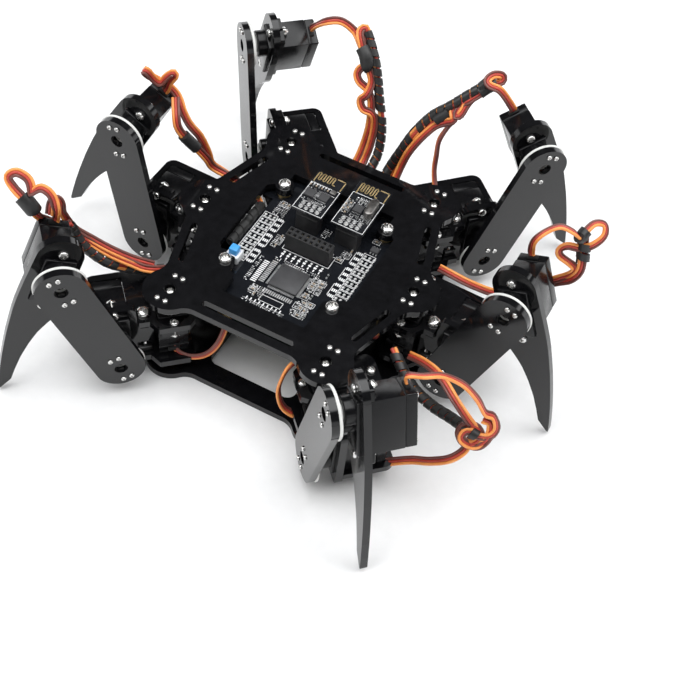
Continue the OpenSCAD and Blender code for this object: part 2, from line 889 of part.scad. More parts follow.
top_plate();
bottom_plate();
standoffs();
body_screws();
yaw_horns();
control_board();
board_parts();
radio_modules();
power_switch();
power_button();
battery_holder();
battery_cells();
coxa_plates(LEFT_FRONT);  // coxa_plates_left_front
coxa_servos(LEFT_FRONT);  // coxa_servos_left_front
coxa_screws(LEFT_FRONT);  // coxa_screws_left_front
femur_plate(LEFT_FRONT);  // femur_plate_left_front
femur_horns(LEFT_FRONT);  // femur_horns_left_front
claw_plate(LEFT_FRONT);  // claw_plate_left_front
claw_servo(LEFT_FRONT);  // claw_servo_left_front
lead(lead_left_front_route);  // lead_left_front
coxa_plates(RIGHT_FRONT);  // coxa_plates_right_front
coxa_servos(RIGHT_FRONT);  // coxa_servos_right_front
coxa_screws(RIGHT_FRONT);  // coxa_screws_right_front
femur_plate(RIGHT_FRONT);  // femur_plate_right_front
femur_horns(RIGHT_FRONT);  // femur_horns_right_front
claw_plate(RIGHT_FRONT);  // claw_plate_right_front
claw_servo(RIGHT_FRONT);  // claw_servo_right_front
lead(lead_right_front_route);  // lead_right_front
coxa_plates(RIGHT_MIDDLE);  // coxa_plates_right_middle
coxa_servos(RIGHT_MIDDLE);  // coxa_servos_right_middle
coxa_screws(RIGHT_MIDDLE);  // coxa_screws_right_middle
femur_plate(RIGHT_MIDDLE);  // femur_plate_right_middle
femur_horns(RIGHT_MIDDLE);  // femur_horns_right_middle
claw_plate(RIGHT_MIDDLE);  // claw_plate_right_middle
claw_servo(RIGHT_MIDDLE);  // claw_servo_right_middle
lead(lead_right_middle_route);  // lead_right_middle
coxa_plates(RIGHT_REAR);  // coxa_plates_right_rear
coxa_servos(RIGHT_REAR);  // coxa_servos_right_rear
coxa_screws(RIGHT_REAR);  // coxa_screws_right_rear
femur_plate(RIGHT_REAR);  // femur_plate_right_rear
femur_horns(RIGHT_REAR);  // femur_horns_right_rear
claw_plate(RIGHT_REAR);  // claw_plate_right_rear
claw_servo(RIGHT_REAR);  // claw_servo_right_rear
lead(lead_right_rear_route);  // lead_right_rear
coxa_plates(LEFT_REAR);  // coxa_plates_left_rear
coxa_servos(LEFT_REAR);  // coxa_servos_left_rear
coxa_screws(LEFT_REAR);  // coxa_screws_left_rear
femur_plate(LEFT_REAR);  // femur_plate_left_rear
femur_horns(LEFT_REAR);  // femur_horns_left_rear
claw_plate(LEFT_REAR);  // claw_plate_left_rear
claw_servo(LEFT_REAR);  // claw_servo_left_rear
lead(lead_left_rear_route);  // lead_left_rear
coxa_plates(LEFT_MIDDLE);  // coxa_plates_left_middle
coxa_servos(LEFT_MIDDLE);  // coxa_servos_left_middle
coxa_screws(LEFT_MIDDLE);  // coxa_screws_left_middle
femur_plate(LEFT_MIDDLE);  // femur_plate_left_middle
femur_horns(LEFT_MIDDLE);  // femur_horns_left_middle
claw_plate(LEFT_MIDDLE);  // claw_plate_left_middle
claw_servo(LEFT_MIDDLE);  // claw_servo_left_middle
lead(lead_left_middle_route);  // lead_left_middle
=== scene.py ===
import math

import bmesh
import bpy
import numpy as np
from mathutils import Matrix, Vector


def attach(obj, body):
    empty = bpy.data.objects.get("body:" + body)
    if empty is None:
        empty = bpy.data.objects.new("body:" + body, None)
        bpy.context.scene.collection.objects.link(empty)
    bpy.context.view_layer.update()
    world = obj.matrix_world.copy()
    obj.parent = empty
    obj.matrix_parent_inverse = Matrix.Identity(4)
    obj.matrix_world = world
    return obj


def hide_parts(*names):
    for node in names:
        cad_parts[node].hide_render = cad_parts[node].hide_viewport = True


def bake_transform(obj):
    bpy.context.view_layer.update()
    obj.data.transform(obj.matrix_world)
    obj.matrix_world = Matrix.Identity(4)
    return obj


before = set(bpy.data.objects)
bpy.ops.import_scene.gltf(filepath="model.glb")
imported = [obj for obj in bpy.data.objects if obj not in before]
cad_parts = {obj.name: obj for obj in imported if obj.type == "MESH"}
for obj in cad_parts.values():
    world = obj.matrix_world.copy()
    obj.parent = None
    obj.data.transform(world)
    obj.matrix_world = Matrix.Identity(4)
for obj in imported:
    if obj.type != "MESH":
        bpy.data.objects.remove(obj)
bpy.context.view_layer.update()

MM = 0.001
scene = bpy.context.scene

# ---------------------------------------------------------------- dimensions (mm), as in the CAD
PLATE = 3.0
BODY_H = 45.0
COXA_L, HIP_Z, FEMUR_L = 23.0, 16.5, 55.0
CASE_L, CASE_W, CASE_H, SHAFT_END = 22.8, 12.2, 22.7, 5.9
EAR_OUT, EAR_T, EAR_DROP, EAR_HOLE = 4.7, 2.5, 4.3, 2.2
BOSS_H, HORN_R, HORN_T, HUB_T = 4.0, 10.3, 1.2, 2.0
FEMUR_FACE = 13.8
CASE_TOP_Z = BODY_H - PLATE - HORN_T - HUB_T - BOSS_H
COXA_TOP_Z = CASE_TOP_Z - EAR_DROP
COXA_BOTTOM_Z = CASE_TOP_Z - CASE_H - PLATE
CASE_FACE = FEMUR_FACE - PLATE - HORN_T - HUB_T - BOSS_H
HIP_PLATE_BACK = CASE_FACE - EAR_DROP
BOARD_Z = 40.0
SOCKET_H = 8.5
FLOOR_Z = -0.1
WALL_LIGHT, BAND_LIGHT, CEILING_LIGHT = 1.2, 0.06, 3.9

LEGS = ["left_front", "right_front", "right_middle", "right_rear", "left_rear", "left_middle"]
LEG_AT = [(-35, -50), (35, -50), (49, 0), (35, 50), (-35, 50), (-49, 0)]
LEG_TURN = [223, 313.5, -1.5, 46, 133.5, 179]
FEMUR_SLOPE = [69, 72.5, 70.5, 71, 73.5, 79]
CLAW_SLOPE = [-68.5, -69, -68.5, -67, -66, -62]
LEG_IS_LEFT = [True, False, False, False, True, True]


def move(x=0.0, y=0.0, z=0.0):
    return Matrix.Translation((x, y, z))


def turn(degrees, axis):
    return Matrix.Rotation(math.radians(degrees), 4, axis)


def leg_frame(i):
    """X outwards, Y towards the femur, Z up, as in the CAD."""
    m = move(*LEG_AT[i]) @ turn(LEG_TURN[i], "Z")
    return m if LEG_IS_LEFT[i] else m @ Matrix.Diagonal((1, -1, 1, 1))


def femur_frame(i):
    return leg_frame(i) @ move(COXA_L, 0, HIP_Z) @ turn(-FEMUR_SLOPE[i], "Y")


def claw_frame(i):
    s = math.radians(FEMUR_SLOPE[i])
    knee = move(COXA_L + FEMUR_L * math.cos(s), 0, HIP_Z + FEMUR_L * math.sin(s))
    return leg_frame(i) @ knee @ turn(-CLAW_SLOPE[i], "Y")


YAW_SERVO = move(0, 0, CASE_TOP_Z) @ turn(90, "Z")
HIP_SERVO = move(COXA_L, CASE_FACE, HIP_Z) @ turn(90, "Y") @ turn(-90, "X")
KNEE_SERVO = move(0, CASE_FACE, 0) @ turn(180, "Y") @ turn(-90, "X")

# ---------------------------------------------------------------- camera

camera_data = bpy.data.cameras.new("camera")
camera_data.lens = 66.75
camera_data.sensor_width = 36.0
camera_data.clip_start, camera_data.clip_end = 0.01, 20.0
camera = bpy.data.objects.new("camera", camera_data)
scene.collection.objects.link(camera)
CAM_RIGHT = Vector((0.8858, 0.4547, 0.0922)).normalized()
CAM_FORWARD = Vector((-0.2166, 0.5810, -0.7845)).normalized()
CAM_UP = CAM_RIGHT.cross(CAM_FORWARD).normalized()
CAM_RIGHT = CAM_FORWARD.cross(CAM_UP).normalized()
camera.matrix_world = Matrix((
    (CAM_RIGHT[0], CAM_UP[0], -CAM_FORWARD[0], 0.1495),
    (CAM_RIGHT[1], CAM_UP[1], -CAM_FORWARD[1], -0.3327),
    (CAM_RIGHT[2], CAM_UP[2], -CAM_FORWARD[2], 0.4399),
    (0, 0, 0, 1),
))
scene.camera = camera

# ---------------------------------------------------------------- materials


class Shader:
    """A new material's node tree, with short calls for the nodes used here."""

    def __init__(self, name):
        self.material = bpy.data.materials.new(name)
        self.material.use_nodes = True
        self.tree = self.material.node_tree
        self.bsdf = self.tree.nodes["Principled BSDF"]

    def node(self, kind, **values):
        n = self.tree.nodes.new(kind)
        for key, value in values.items():
            if key in n.inputs:
                n.inputs[key].default_value = value
            else:
                setattr(n, key, value)
        return n

    def link(self, a, b):
        self.tree.links.new(a, b)

    def coords(self, scale):
        where = self.node("ShaderNodeTexCoord")
        mapping = self.node("ShaderNodeMapping")
        mapping.inputs["Scale"].default_value = (scale, scale, scale) if not isinstance(scale,
            tuple) else scale
        self.link(where.outputs["Object"], mapping.inputs["Vector"])
        return mapping.outputs["Vector"]

    def noise(self, scale, detail=3.0, roughness=0.6, stretch=1.0):
        n = self.node("ShaderNodeTexNoise", Scale=1.0, Detail=detail, Roughness=roughness)
        self.link(self.coords(scale if stretch == 1.0 else (scale, scale, scale * stretch)),
                  n.inputs["Vector"])
        return n.outputs["Fac"]

    def spread(self, fac, low, high, start=0.3, end=0.7):
        """Maps a 0 to 1 value to a range."""
        n = self.node("ShaderNodeMapRange")
        for key, value in (("From Min", start), ("From Max", end), ("To Min", low), ("To Max", high)):
            n.inputs[key].default_value = value
        self.link(fac, n.inputs["Value"])
        return n.outputs["Result"]

    def mix(self, fac, low, high, start=0.3, end=0.7):
        n = self.node("ShaderNodeValToRGB")
        n.color_ramp.elements[0].position, n.color_ramp.elements[1].position = start, end
        n.color_ramp.elements[0].color = (*low, 1)
        n.color_ramp.elements[1].color = (*high, 1)
        self.link(fac, n.inputs["Fac"])
        return n.outputs["Color"]

    def bump(self, fac, distance, strength=1.0):
        n = self.node("ShaderNodeBump", Strength=strength, Distance=distance)
        self.link(fac, n.inputs["Height"])
        self.link(n.outputs["Normal"], self.bsdf.inputs["Normal"])

    def set(self, **values):
        for key, value in values.items():
            self.bsdf.inputs[key.replace("_", " ")].default_value = value
        return self


def acrylic(name, dark, pale):
    """Polished black sheet with faint dust and hairline scuffs."""
    s = Shader(name)
    s.set(Roughness=0.07, IOR=1.49, Specular_IOR_Level=0.5)
    s.link(s.mix(s.noise(260.0, 5.0), dark, pale), s.bsdf.inputs["Base Color"])
    s.link(s.spread(s.noise(90.0, 6.0, 0.7), 0.05, 0.15), s.bsdf.inputs["Roughness"])
    s.bump(s.noise(45.0, 2.0), 0.00008, 0.25)
    return s.material


def moulded(name, dark, pale, rough_low, rough_high, grain, depth, shine=0.5):
    """Moulded plastic with a fine grain."""
    s = Shader(name)
    s.set(Specular_IOR_Level=shine)
    s.link(s.mix(s.noise(180.0, 4.0), dark, pale), s.bsdf.inputs["Base Color"])
    s.link(s.spread(s.noise(320.0, 4.0), rough_low, rough_high), s.bsdf.inputs["Roughness"])
    s.bump(s.noise(grain, 2.0), depth, 0.6)
    return s.material


def metal(name, dark, pale, rough_low, rough_high, grain=900.0, depth=0.00002):
    s = Shader(name)
    s.set(Metallic=1.0)
    s.link(s.mix(s.noise(350.0, 3.0), dark, pale), s.bsdf.inputs["Base Color"])
    s.link(s.spread(s.noise(700.0, 3.0), rough_low, rough_high), s.bsdf.inputs["Roughness"])
    s.bump(s.noise(grain, 2.0), depth, 0.5)
    return s.material


M = {
    "acrylic": acrylic("black_acrylic", (0.003, 0.003, 0.0035), (0.006, 0.006, 0.007)),
    "servo": moulded("servo_case", (0.003, 0.003, 0.0035), (0.006, 0.006, 0.007), 0.16, 0.26, 2600.0,
                     0.00002, 0.3),
    "seam": moulded("servo_seam", (0.002, 0.002, 0.002), (0.004, 0.004, 0.004), 0.6, 0.8, 2600.0,
                    0.00002),
    "nylon": moulded("white_nylon", (0.62, 0.62, 0.6), (0.75, 0.75, 0.73), 0.35, 0.5, 1500.0, 0.00003),
    "steel": metal("bright_steel", (0.62, 0.62, 0.61), (0.8, 0.79, 0.77), 0.16, 0.3),
    "black_steel": metal("black_steel", (0.05, 0.05, 0.05), (0.09, 0.09, 0.09), 0.3, 0.45),
    "brass": metal("brass", (0.68, 0.5, 0.22), (0.76, 0.58, 0.29), 0.3, 0.38, 1500.0, 0.000006),
    "gold": metal("gold_track", (0.55, 0.4, 0.18), (0.75, 0.58, 0.3), 0.3, 0.45),
    "solder": metal("solder", (0.6, 0.6, 0.6), (0.8, 0.8, 0.8), 0.25, 0.4),
    "board": moulded("circuit_board", (0.006, 0.007, 0.009), (0.01, 0.011, 0.014), 0.07, 0.12, 700.0,
                     0.00002),
    "radio_board": moulded("radio_board", (0.008, 0.009, 0.011), (0.014, 0.015, 0.018), 0.14, 0.22, 700.0,
                           0.00002),
    "silk": moulded("silk_print", (0.72, 0.72, 0.72), (0.88, 0.88, 0.88), 0.55, 0.7, 2500.0, 0.00001),
    "plastic": moulded("black_plastic", (0.008, 0.008, 0.009), (0.016, 0.016, 0.017), 0.38, 0.5, 1800.0,
                       0.00003),
    "chip": moulded("chip_resin", (0.03, 0.03, 0.032), (0.045, 0.045, 0.048), 0.45, 0.6, 3000.0, 0.00002),
    "white": moulded("white_plastic", (0.68, 0.7, 0.72), (0.8, 0.82, 0.84), 0.35, 0.5, 1500.0, 0.00002),
    "blue": moulded("blue_button", (0.05, 0.3, 0.68), (0.07, 0.38, 0.8), 0.25, 0.4, 1500.0, 0.00002),
    "orange_wire": moulded("orange_wire", (0.78, 0.25, 0.05), (0.9, 0.36, 0.1), 0.32, 0.46, 1200.0,
                           0.00004),
    "red_wire": moulded("red_wire", (0.4, 0.035, 0.025), (0.52, 0.065, 0.04), 0.32, 0.46, 1200.0,
                        0.00004),
    "brown_wire": moulded("brown_wire", (0.12, 0.035, 0.03), (0.19, 0.065, 0.05), 0.32, 0.46, 1200.0,
                          0.00004),
    "wrap": moulded("black_wrap", (0.008, 0.008, 0.008), (0.02, 0.02, 0.02), 0.35, 0.5, 1600.0, 0.00004),
    "floor": moulded("studio_floor", (0.8, 0.8, 0.8), (0.83, 0.83, 0.83), 0.6, 0.7, 60.0, 0.00001),
    "cell": moulded("cell_sleeve", (0.02, 0.12, 0.06), (0.03, 0.18, 0.09), 0.3, 0.42, 900.0, 0.00003),
    "tin": metal("tinned_can", (0.2, 0.19, 0.18), (0.3, 0.29, 0.28), 0.25, 0.4),
    "cap": moulded("ceramic_part", (0.28, 0.22, 0.16), (0.38, 0.3, 0.22), 0.4, 0.5, 1500.0, 0.00002),
}

# ---------------------------------------------------------------- mesh pieces


class Part:
    """Points, faces and a material for each face, in millimetres."""

    def __init__(self, points=(), faces=(), kinds=()):
        self.points = np.array(points, float).reshape(-1, 3)
        self.faces = [tuple(f) for f in faces]
        self.kinds = list(kinds)

    def placed(self, matrix):
        m = np.array(matrix, float)
        points = self.points @ m[:3, :3].T + m[:3, 3]
        flip = np.linalg.det(m[:3, :3]) < 0
        return Part(points, [f[::-1] for f in self.faces] if flip else self.faces, self.kinds)

    def add(self, other):
        n = len(self.points)
        self.points = np.vstack([self.points, other.points]) if n else other.points.copy()
        self.faces += [tuple(i + n for i in f) for f in other.faces]
        self.kinds += other.kinds
        return self


def joined(parts):
    out = Part()
    points, n = [], 0
    for p in parts:
        points.append(p.points)
        out.faces += [tuple(i + n for i in f) for f in p.faces]
        out.kinds += p.kinds
        n += len(p.points)
    out.points = np.vstack(points)
    return out


def from_bmesh(bm, kind):
    bmesh.ops.recalc_face_normals(bm, faces=bm.faces)
    bm.verts.index_update()
    part = Part([v.co[:] for v in bm.verts], [[v.index for v in f.verts] for f in bm.faces],
                [kind] * len(bm.faces))
    bm.free()
    return part


def rounded(bm, radius, segments=2, angle=30):
    """Bevels every edge sharper than an angle."""
    if radius > 0:
        edges = [e for e in bm.edges if e.is_manifold and e.calc_face_angle(0) > math.radians(angle)]
        bmesh.ops.bevel(bm, geom=edges, offset=radius, offset_type="OFFSET", segments=segments,
                        profile=0.5,
                        affect="EDGES", clamp_overlap=True)


def block(low, high, kind, radius=0.0, segments=2):
    bm = bmesh.new()
    bmesh.ops.create_cube(bm, size=1.0)
    size = [h - l for l, h in zip(low, high)]
    middle = [(h + l) / 2 for l, h in zip(low, high)]
    bmesh.ops.scale(bm, vec=size, verts=bm.verts)
    bmesh.ops.translate(bm, vec=middle, verts=bm.verts)
    rounded(bm, radius, segments)
    return from_bmesh(bm, kind)


def lathe(profile, kind, sides=32):
    """Turns (radius, height) points about Z; a radius of 0 closes the end."""
    points, faces, rings = [], [], []
    for r, z in profile:
        if r <= 1e-9:
            rings.append([len(points)])
            points.append((0, 0, z))
        else:
            rings.append(list(range(len(points), len(points) + sides)))
            points += [(r * math.cos(2 * math.pi * k / sides), r * math.sin(2 * math.pi * k / sides), z)
                       for k in range(sides)]
    for a, b in zip(rings, rings[1:]):
        for k in range(sides):
            j = (k + 1) % sides
            if len(a) == 1 and len(b) > 1:
                faces.append((a[0], b[j], b[k]))
            elif len(b) == 1 and len(a) > 1:
                faces.append((a[k], a[j], b[0]))
            elif len(a) > 1:
                faces.append((a[k], a[j], b[j], b[k]))
    return Part(points, faces, [kind] * len(faces))


def prism(outline, z0, z1, kind, radius=0.0, segments=1):
    """An outline in X and Y, extruded, with its rims rounded."""
    bm = bmesh.new()
    low = [bm.verts.new((x, y, z0)) for x, y in outline]
    face = bm.faces.new(low)
    out = bmesh.ops.extrude_face_region(bm, geom=[face])
    bmesh.ops.translate(bm, vec=(0, 0, z1 - z0),
                        verts=[v for v in out["geom"] if isinstance(v, bmesh.types.BMVert)])
    if radius:
        rims = [e for e in bm.edges if abs(e.verts[0].co.z - e.verts[1].co.z) < 1e-6]
        bmesh.ops.bevel(bm, geom=rims, offset=radius, offset_type="OFFSET", segments=segments,
                        profile=0.5,
                        affect="EDGES", clamp_overlap=True)
    return from_bmesh(bm, kind)


def piece(name, part, smooth=35):
    """A Blender object from a part, with its materials."""
    mesh = bpy.data.meshes.new(name)
    mesh.from_pydata((part.points * MM).tolist(), [], part.faces)
    kinds = sorted(set(part.kinds))
    for k in kinds:
        mesh.materials.append(M[k])
    mesh.polygons.foreach_set("material_index", [kinds.index(k) for k in part.kinds])
    mesh.polygons.foreach_set("use_smooth", [True] * len(part.faces))
    mesh.update()
    mesh.set_sharp_from_angle(angle=math.radians(smooth))
    obj = bpy.data.objects.new(name, mesh)
    scene.collection.objects.link(obj)
    return obj


def stand_in(name, part, body, nodes=(), smooth=35):
    """A detailed piece that rides on a body, in place of CAD nodes."""
    obj = piece(name, part, smooth)
    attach(obj, body)
    if nodes:
        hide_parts(*nodes)
    return obj


def dress(node, kind):
    """A CAD node that stays, with a better material."""
    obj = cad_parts[node]
    obj.data.materials.clear()
    obj.data.materials.append(M[kind])
    return obj


def cut_out(part, cutters, kind):
    """A part with other closed parts removed from it."""
    objs = [piece("whole", part, 30)] + [piece("cutter", c, 30) for c in cutters]
    for c in objs[1:]:
        m = objs[0].modifiers.new("cut", "BOOLEAN")
        m.object, m.operation, m.solver = c, "DIFFERENCE", "EXACT"
    bpy.context.view_layer.update()
    mesh = bpy.data.meshes.new_from_object(objs[0].evaluated_get(bpy.context.evaluated_depsgraph_get()))
    out = Part([[x / MM for x in v.co] for v in mesh.vertices], [list(p.vertices) for p in mesh.polygons],
               [kind] * len(mesh.polygons))
    for o in objs:
        bpy.data.objects.remove(o)
    return out


# ---------------------------------------------------------------- servo leads

TO_CAMERA = np.array((0.2166, -0.5810, 0.7845))


def unit(v):
    return v / np.linalg.norm(v)


def smooth_path(points, step=1.0):
    """Even points, a step apart, on a smooth curve through given ones (mm)."""
    p = np.array(points, float)
    p = np.vstack([2 * p[0] - p[1], p, 2 * p[-1] - p[-2]])
    fine = []
    for a, b, c, d in zip(p, p[1:], p[2:], p[3:]):
        for t in np.linspace(0, 1, 24, endpoint=False):
            fine.append(0.5 * (2 * b + (c - a) * t + (2 * a - 5 * b + 4 * c - d) * t ** 2
                               + (3 * b - a - 3 * c + d) * t ** 3))
    fine = np.array(fine + [p[-2]])
    run = np.concatenate([[0], np.cumsum(np.linalg.norm(np.diff(fine, axis=0), axis=1))])
    at = np.linspace(0, run[-1], max(3, int(run[-1] / step)))
    return np.column_stack([np.interp(at, run, fine[:, k]) for k in range(3)])


def frames_along(path, facing, twist=(0.0, 0.0)):
    """Side and normal vectors that hold a ribbon's face to a direction, eased round corners, then turned
    by an angle that goes evenly from one number of degrees to another."""
    runs = np.array([unit(path[min(i + 1, len(path) - 1)] - path[max(i - 1, 0)])
                     for i in range(len(path))])
    sides = []
    for t in runs:
        side = np.cross(t, facing)
        if sides and (np.linalg.norm(side) < 0.25 or side @ sides[-1] < 0):
            side = sides[-1] if np.linalg.norm(side) < 0.25 else -side
        sides.append(unit(side))
    out = []
    for i, t in enumerate(runs):
        side = sum(sides[max(0, i - 5):i + 6])
        side = unit(side - (side @ t) * t)
        normal = np.cross(side, t)
        a = math.radians(twist[0] + (twist[1] - twist[0]) * i / (len(path) - 1))
        out.append((side * math.cos(a) + normal * math.sin(a), normal * math.cos(a) - side * math.sin(a)))
    return out


def swept(path, frames, section, kind, closed_ends=True):
    """A closed section of (side, normal) offsets carried along a path."""
    n, m = len(path), len(section)
    points = [p + u * s + v * w for p, (s, w) in zip(path, frames) for u, v in section]
    faces = [(i * m + k, i * m + (k + 1) % m, (i + 1) * m + (k + 1) % m, (i + 1) * m + k)
             for i in range(n - 1) for k in range(m)]
    if closed_ends:
        faces += [tuple(range(m))[::-1], tuple((n - 1) * m + k for k in range(m))]
    return Part(points, faces, [kind] * len(faces))


def round_section(r, sides, at=0.0):
    return [(at + r * math.cos(2 * math.pi * k / sides), r * math.sin(2 * math.pi * k / sides))
            for k in range(sides)]


WIRES = ((-1.16, "brown_wire"), (0.0, "red_wire"), (1.16, "orange_wire"))


def ribbon(path, frames):
    """Three moulded wires side by side."""
    return joined([swept(path, frames, round_section(0.62, 10, at), kind) for at, kind in WIRES])


def coil_wrap(path, frames, radius, pitch=4.2, cover=0.8):
    """A black strip wound round a bundle."""
    run = np.concatenate([[0], np.cumsum(np.linalg.norm(np.diff(path, axis=0), axis=1))])
    sides = np.array([f[0] for f in frames])
    normals = np.array([f[1] for f in frames])

    def spot(s, a, r):
        c, e, n = (np.array([np.interp(s, run, arr[:, k]) for k in range(3)])
                   for arr in (path, sides, normals))
        return c + r * (math.cos(a) * unit(e) + math.sin(a) * unit(n))

    turns = max(1.0, (run[-1] - pitch * cover) / pitch)
    steps = int(turns * 18)
    points = []
    for i in range(steps + 1):
        a = 2 * math.pi * turns * i / steps
        s = pitch * turns * i / steps
        for ds, r in ((0, radius - 0.25), (0.15, radius), (pitch * cover - 0.15, radius + 0.1),
                      (pitch * cover, radius - 0.2),
                      (pitch * cover * 0.9, radius - 0.55), (0.2, radius - 0.6)):
            points.append(spot(min(s + ds, run[-1]), a, r))
    faces = [(i * 6 + k, i * 6 + (k + 1) % 6, (i + 1) * 6 + (k + 1) % 6, (i + 1) * 6 + k)
             for i in range(steps) for k in range(6)]
    faces += [tuple(range(6))[::-1], tuple(steps * 6 + k for k in range(6))]
    return Part(points, faces, ["wrap"] * len(faces))


def tape(path, frames, radius):
    """A sleeve of black tape with a lapped edge."""
    section = [(radius * (1 + 0.03 * k / 20) * math.cos(2 * math.pi * k / 20),
                0.82 * radius * (1 + 0.03 * k / 20) * math.sin(2 * math.pi * k / 20)) for k in range(20)]
    return swept(path, frames, section, "wrap")


def sleeve(path, frames, radius):
    """Tape with a strip wound over it."""
    return joined([tape(path, frames, radius * 0.9), coil_wrap(path, frames, radius)])


def wrapped_part(path, a, b):
    """The stretch of a path from the point nearest to one place to the point nearest to another."""
    i = int(np.argmin(np.linalg.norm(path - np.array(a, float), axis=1)))
    low, high = max(0, i - 14), min(len(path), i + 15)
    j = low + int(np.argmin(np.linalg.norm(path[low:high] - np.array(b, float), axis=1)))
    return slice(max(0, min(i, j) - 1), min(len(path), max(i, j) + 2))


def between(path, a, b):
    """The stretch of a path between two fractions of its length, at least three points."""
    n = len(path) - 1
    i, j = int(round(a * n)), int(round(b * n))
    return slice(max(0, i), min(n, max(j, i + 2)) + 1)


def bent(obj, bodies):
    """Rides on a body when both ends of the stretch are on that body; otherwise its transform is baked into
    its mesh.
    """
    if bodies[0] == bodies[1]:
        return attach(obj, bodies[0])
    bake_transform(obj)


def lay_lead(name, points, stops, facing=TO_CAMERA, twist=(0.0, 0.0), wraps=(), node=None, make=ribbon):
    """A lead in stretches, one for each (fraction, body, body), with its wraps as
    (from, to, radius, maker)."""
    path = smooth_path(points)
    frames = frames_along(path, facing, twist)
    start = 0.0
    for k, (end, a, b) in enumerate(stops):
        cut = between(path, start, end)
        part_path, part_frames = path[cut], frames[cut]
        extras = []
        for w, (near, far, radius, maker) in enumerate(wraps):
            wrap_cut = wrapped_part(path, near, far)
            if start <= wrap_cut.start / len(path) < end:
                extras.append(piece(f"{name}_wrap_{w + 1}",
                                    maker(path[wrap_cut], frames[wrap_cut], radius), 30))
        obj = piece(f"{name}_{k + 1}" if len(stops) > 1 else name, make(part_path, part_frames), 40)
        for o in [obj] + extras:
            bent(o, (a, b))
        if node:
            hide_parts(node)
        start = end


def leg_stops(leg, first, second):
    return [(first, "claw_" + leg, "femur_" + leg), (second, "femur_" + leg, "coxa_" + leg),
            (1.0, "coxa_" + leg, "body")]


def from_servo(i, points):
    """A lead's points, starting straight out of the claw servo's case."""
    out = claw_frame(i) @ KNEE_SERVO
    return [tuple(out @ Vector((SHAFT_END + d, 0, -20.3))) for d in (1.25, 3.5)] + points


lay_lead("lead_left_front_shown", from_servo(0, [
    (-72, -68, 85), (-74, -67.5, 91), (-78, -68, 93), (-81.5, -69.5, 90), (-82, -68.5, 91),
    (-84.5, -67, 93.5),
    (-88.5, -68, 95.5), (-91, -70, 93.5), (-89, -70.5, 90), (-84.5, -71, 87), (-81, -71, 83.5),
    (-80.5, -69, 78),
    (-80.5, -64, 71), (-78, -59.5, 65), (-74.4, -56.3, 60.5), (-69.5, -52.5, 54), (-63, -49.5, 48.5),
    (-56, -46, 44),
    (-50, -43, 41), (-44, -36, 38), (-38, -26, 36)]), leg_stops("left_front", 0.36, 0.66),
    wraps=[((-84.5, -71, 87), (-81, -71, 83.5), 3.2, tape)], node="lead_left_front")
lay_lead("lead_right_front_shown", from_servo(1, [
    (73, -64.6, 79.2), (77.5, -62.5, 79.3), (83, -57.5, 77.6), (90, -53, 72), (96, -51, 65),
    (100, -50, 58), (103, -48.5, 56),
    (105.5, -49, 51), (104.5, -51, 47.5), (101, -52, 46), (96, -53, 47), (95, -55, 44), (99, -54, 41),
    (102, -52, 43), (98, -51, 48), (95, -51, 51),
    (88, -48, 54), (78, -41, 55), (69, -33, 48), (60, -25, 38)]),
    leg_stops("right_front", 0.4, 0.68), twist=(65, 0),
    wraps=[((100, -52, 46), (96, -53, 47), 2.4, coil_wrap)],
    node="lead_right_front")
lay_lead("lead_right_middle_shown", from_servo(2, [
    (88, 13, 86), (91, 15, 91), (95, 18, 93), (100, 19, 92), (103, 20.5, 89), (103.5, 23, 90),
    (105.5, 27, 92.5), (109, 29, 92),
    (110.5, 27, 88.5), (108, 23.5, 85), (104, 21.5, 83), (99.5, 20.5, 82.5), (97, 20, 79.5),
    (98, 20, 76.5), (102, 20, 75),
    (104.5, 20.5, 73), (103.5, 21, 68), (99, 21.3, 62), (90, 21.5, 52), (79, 21.5, 41), (67, 23, 37),
    (50, 26, 35)]), leg_stops("right_middle", 0.34, 0.64), twist=(60, 0),
    wraps=[((103, 20.5, 89), (103.5, 23, 90), 2.6, tape)],
    node="lead_right_middle")
lay_lead("lead_right_rear_shown", from_servo(3, [
    (43, 86, 85), (38, 85.5, 86), (36, 87, 87), (37.5, 90.5, 88), (40.5, 93, 87), (41, 92, 85),
    (38, 89, 84), (35, 85, 82),
    (32, 80, 78), (31, 75.5, 74), (29.5, 74.5, 73), (29, 78, 75.5), (27, 77.5, 74.5), (24, 75, 71),
    (20, 72, 66), (16, 68, 58),
    (12, 66, 47), (10, 64, 38), (10, 56, 34.5), (10, 47, 34.5)]),
    leg_stops("right_rear", 0.34, 0.6),
    wraps=[((38, 89, 84), (35, 85, 82), 2.9, tape), ((25, 76, 72), (22, 73.5, 68.5), 2.6, tape)],
    node="lead_right_rear")
lay_lead("lead_left_rear_shown", from_servo(4, [
    (-37, 78, 91), (-31, 81, 92), (-25, 83, 88), (-20, 80, 85), (-16, 77.5, 82), (-15, 76, 79),
    (-17, 75, 77), (-17.5, 73.5, 74.5),
    (-15.5, 72.5, 72), (-11.5, 73, 69), (-8.5, 72, 63), (-7, 69, 53), (-7.5, 66, 43), (-8, 60, 36),
    (-7, 52, 34.5),
    (-5, 44, 34.5)]),
    leg_stops("left_rear", 0.33, 0.6), wraps=[((-18, 79, 83.5), (-15, 76, 79), 3.1, tape)],
    node="lead_left_rear")
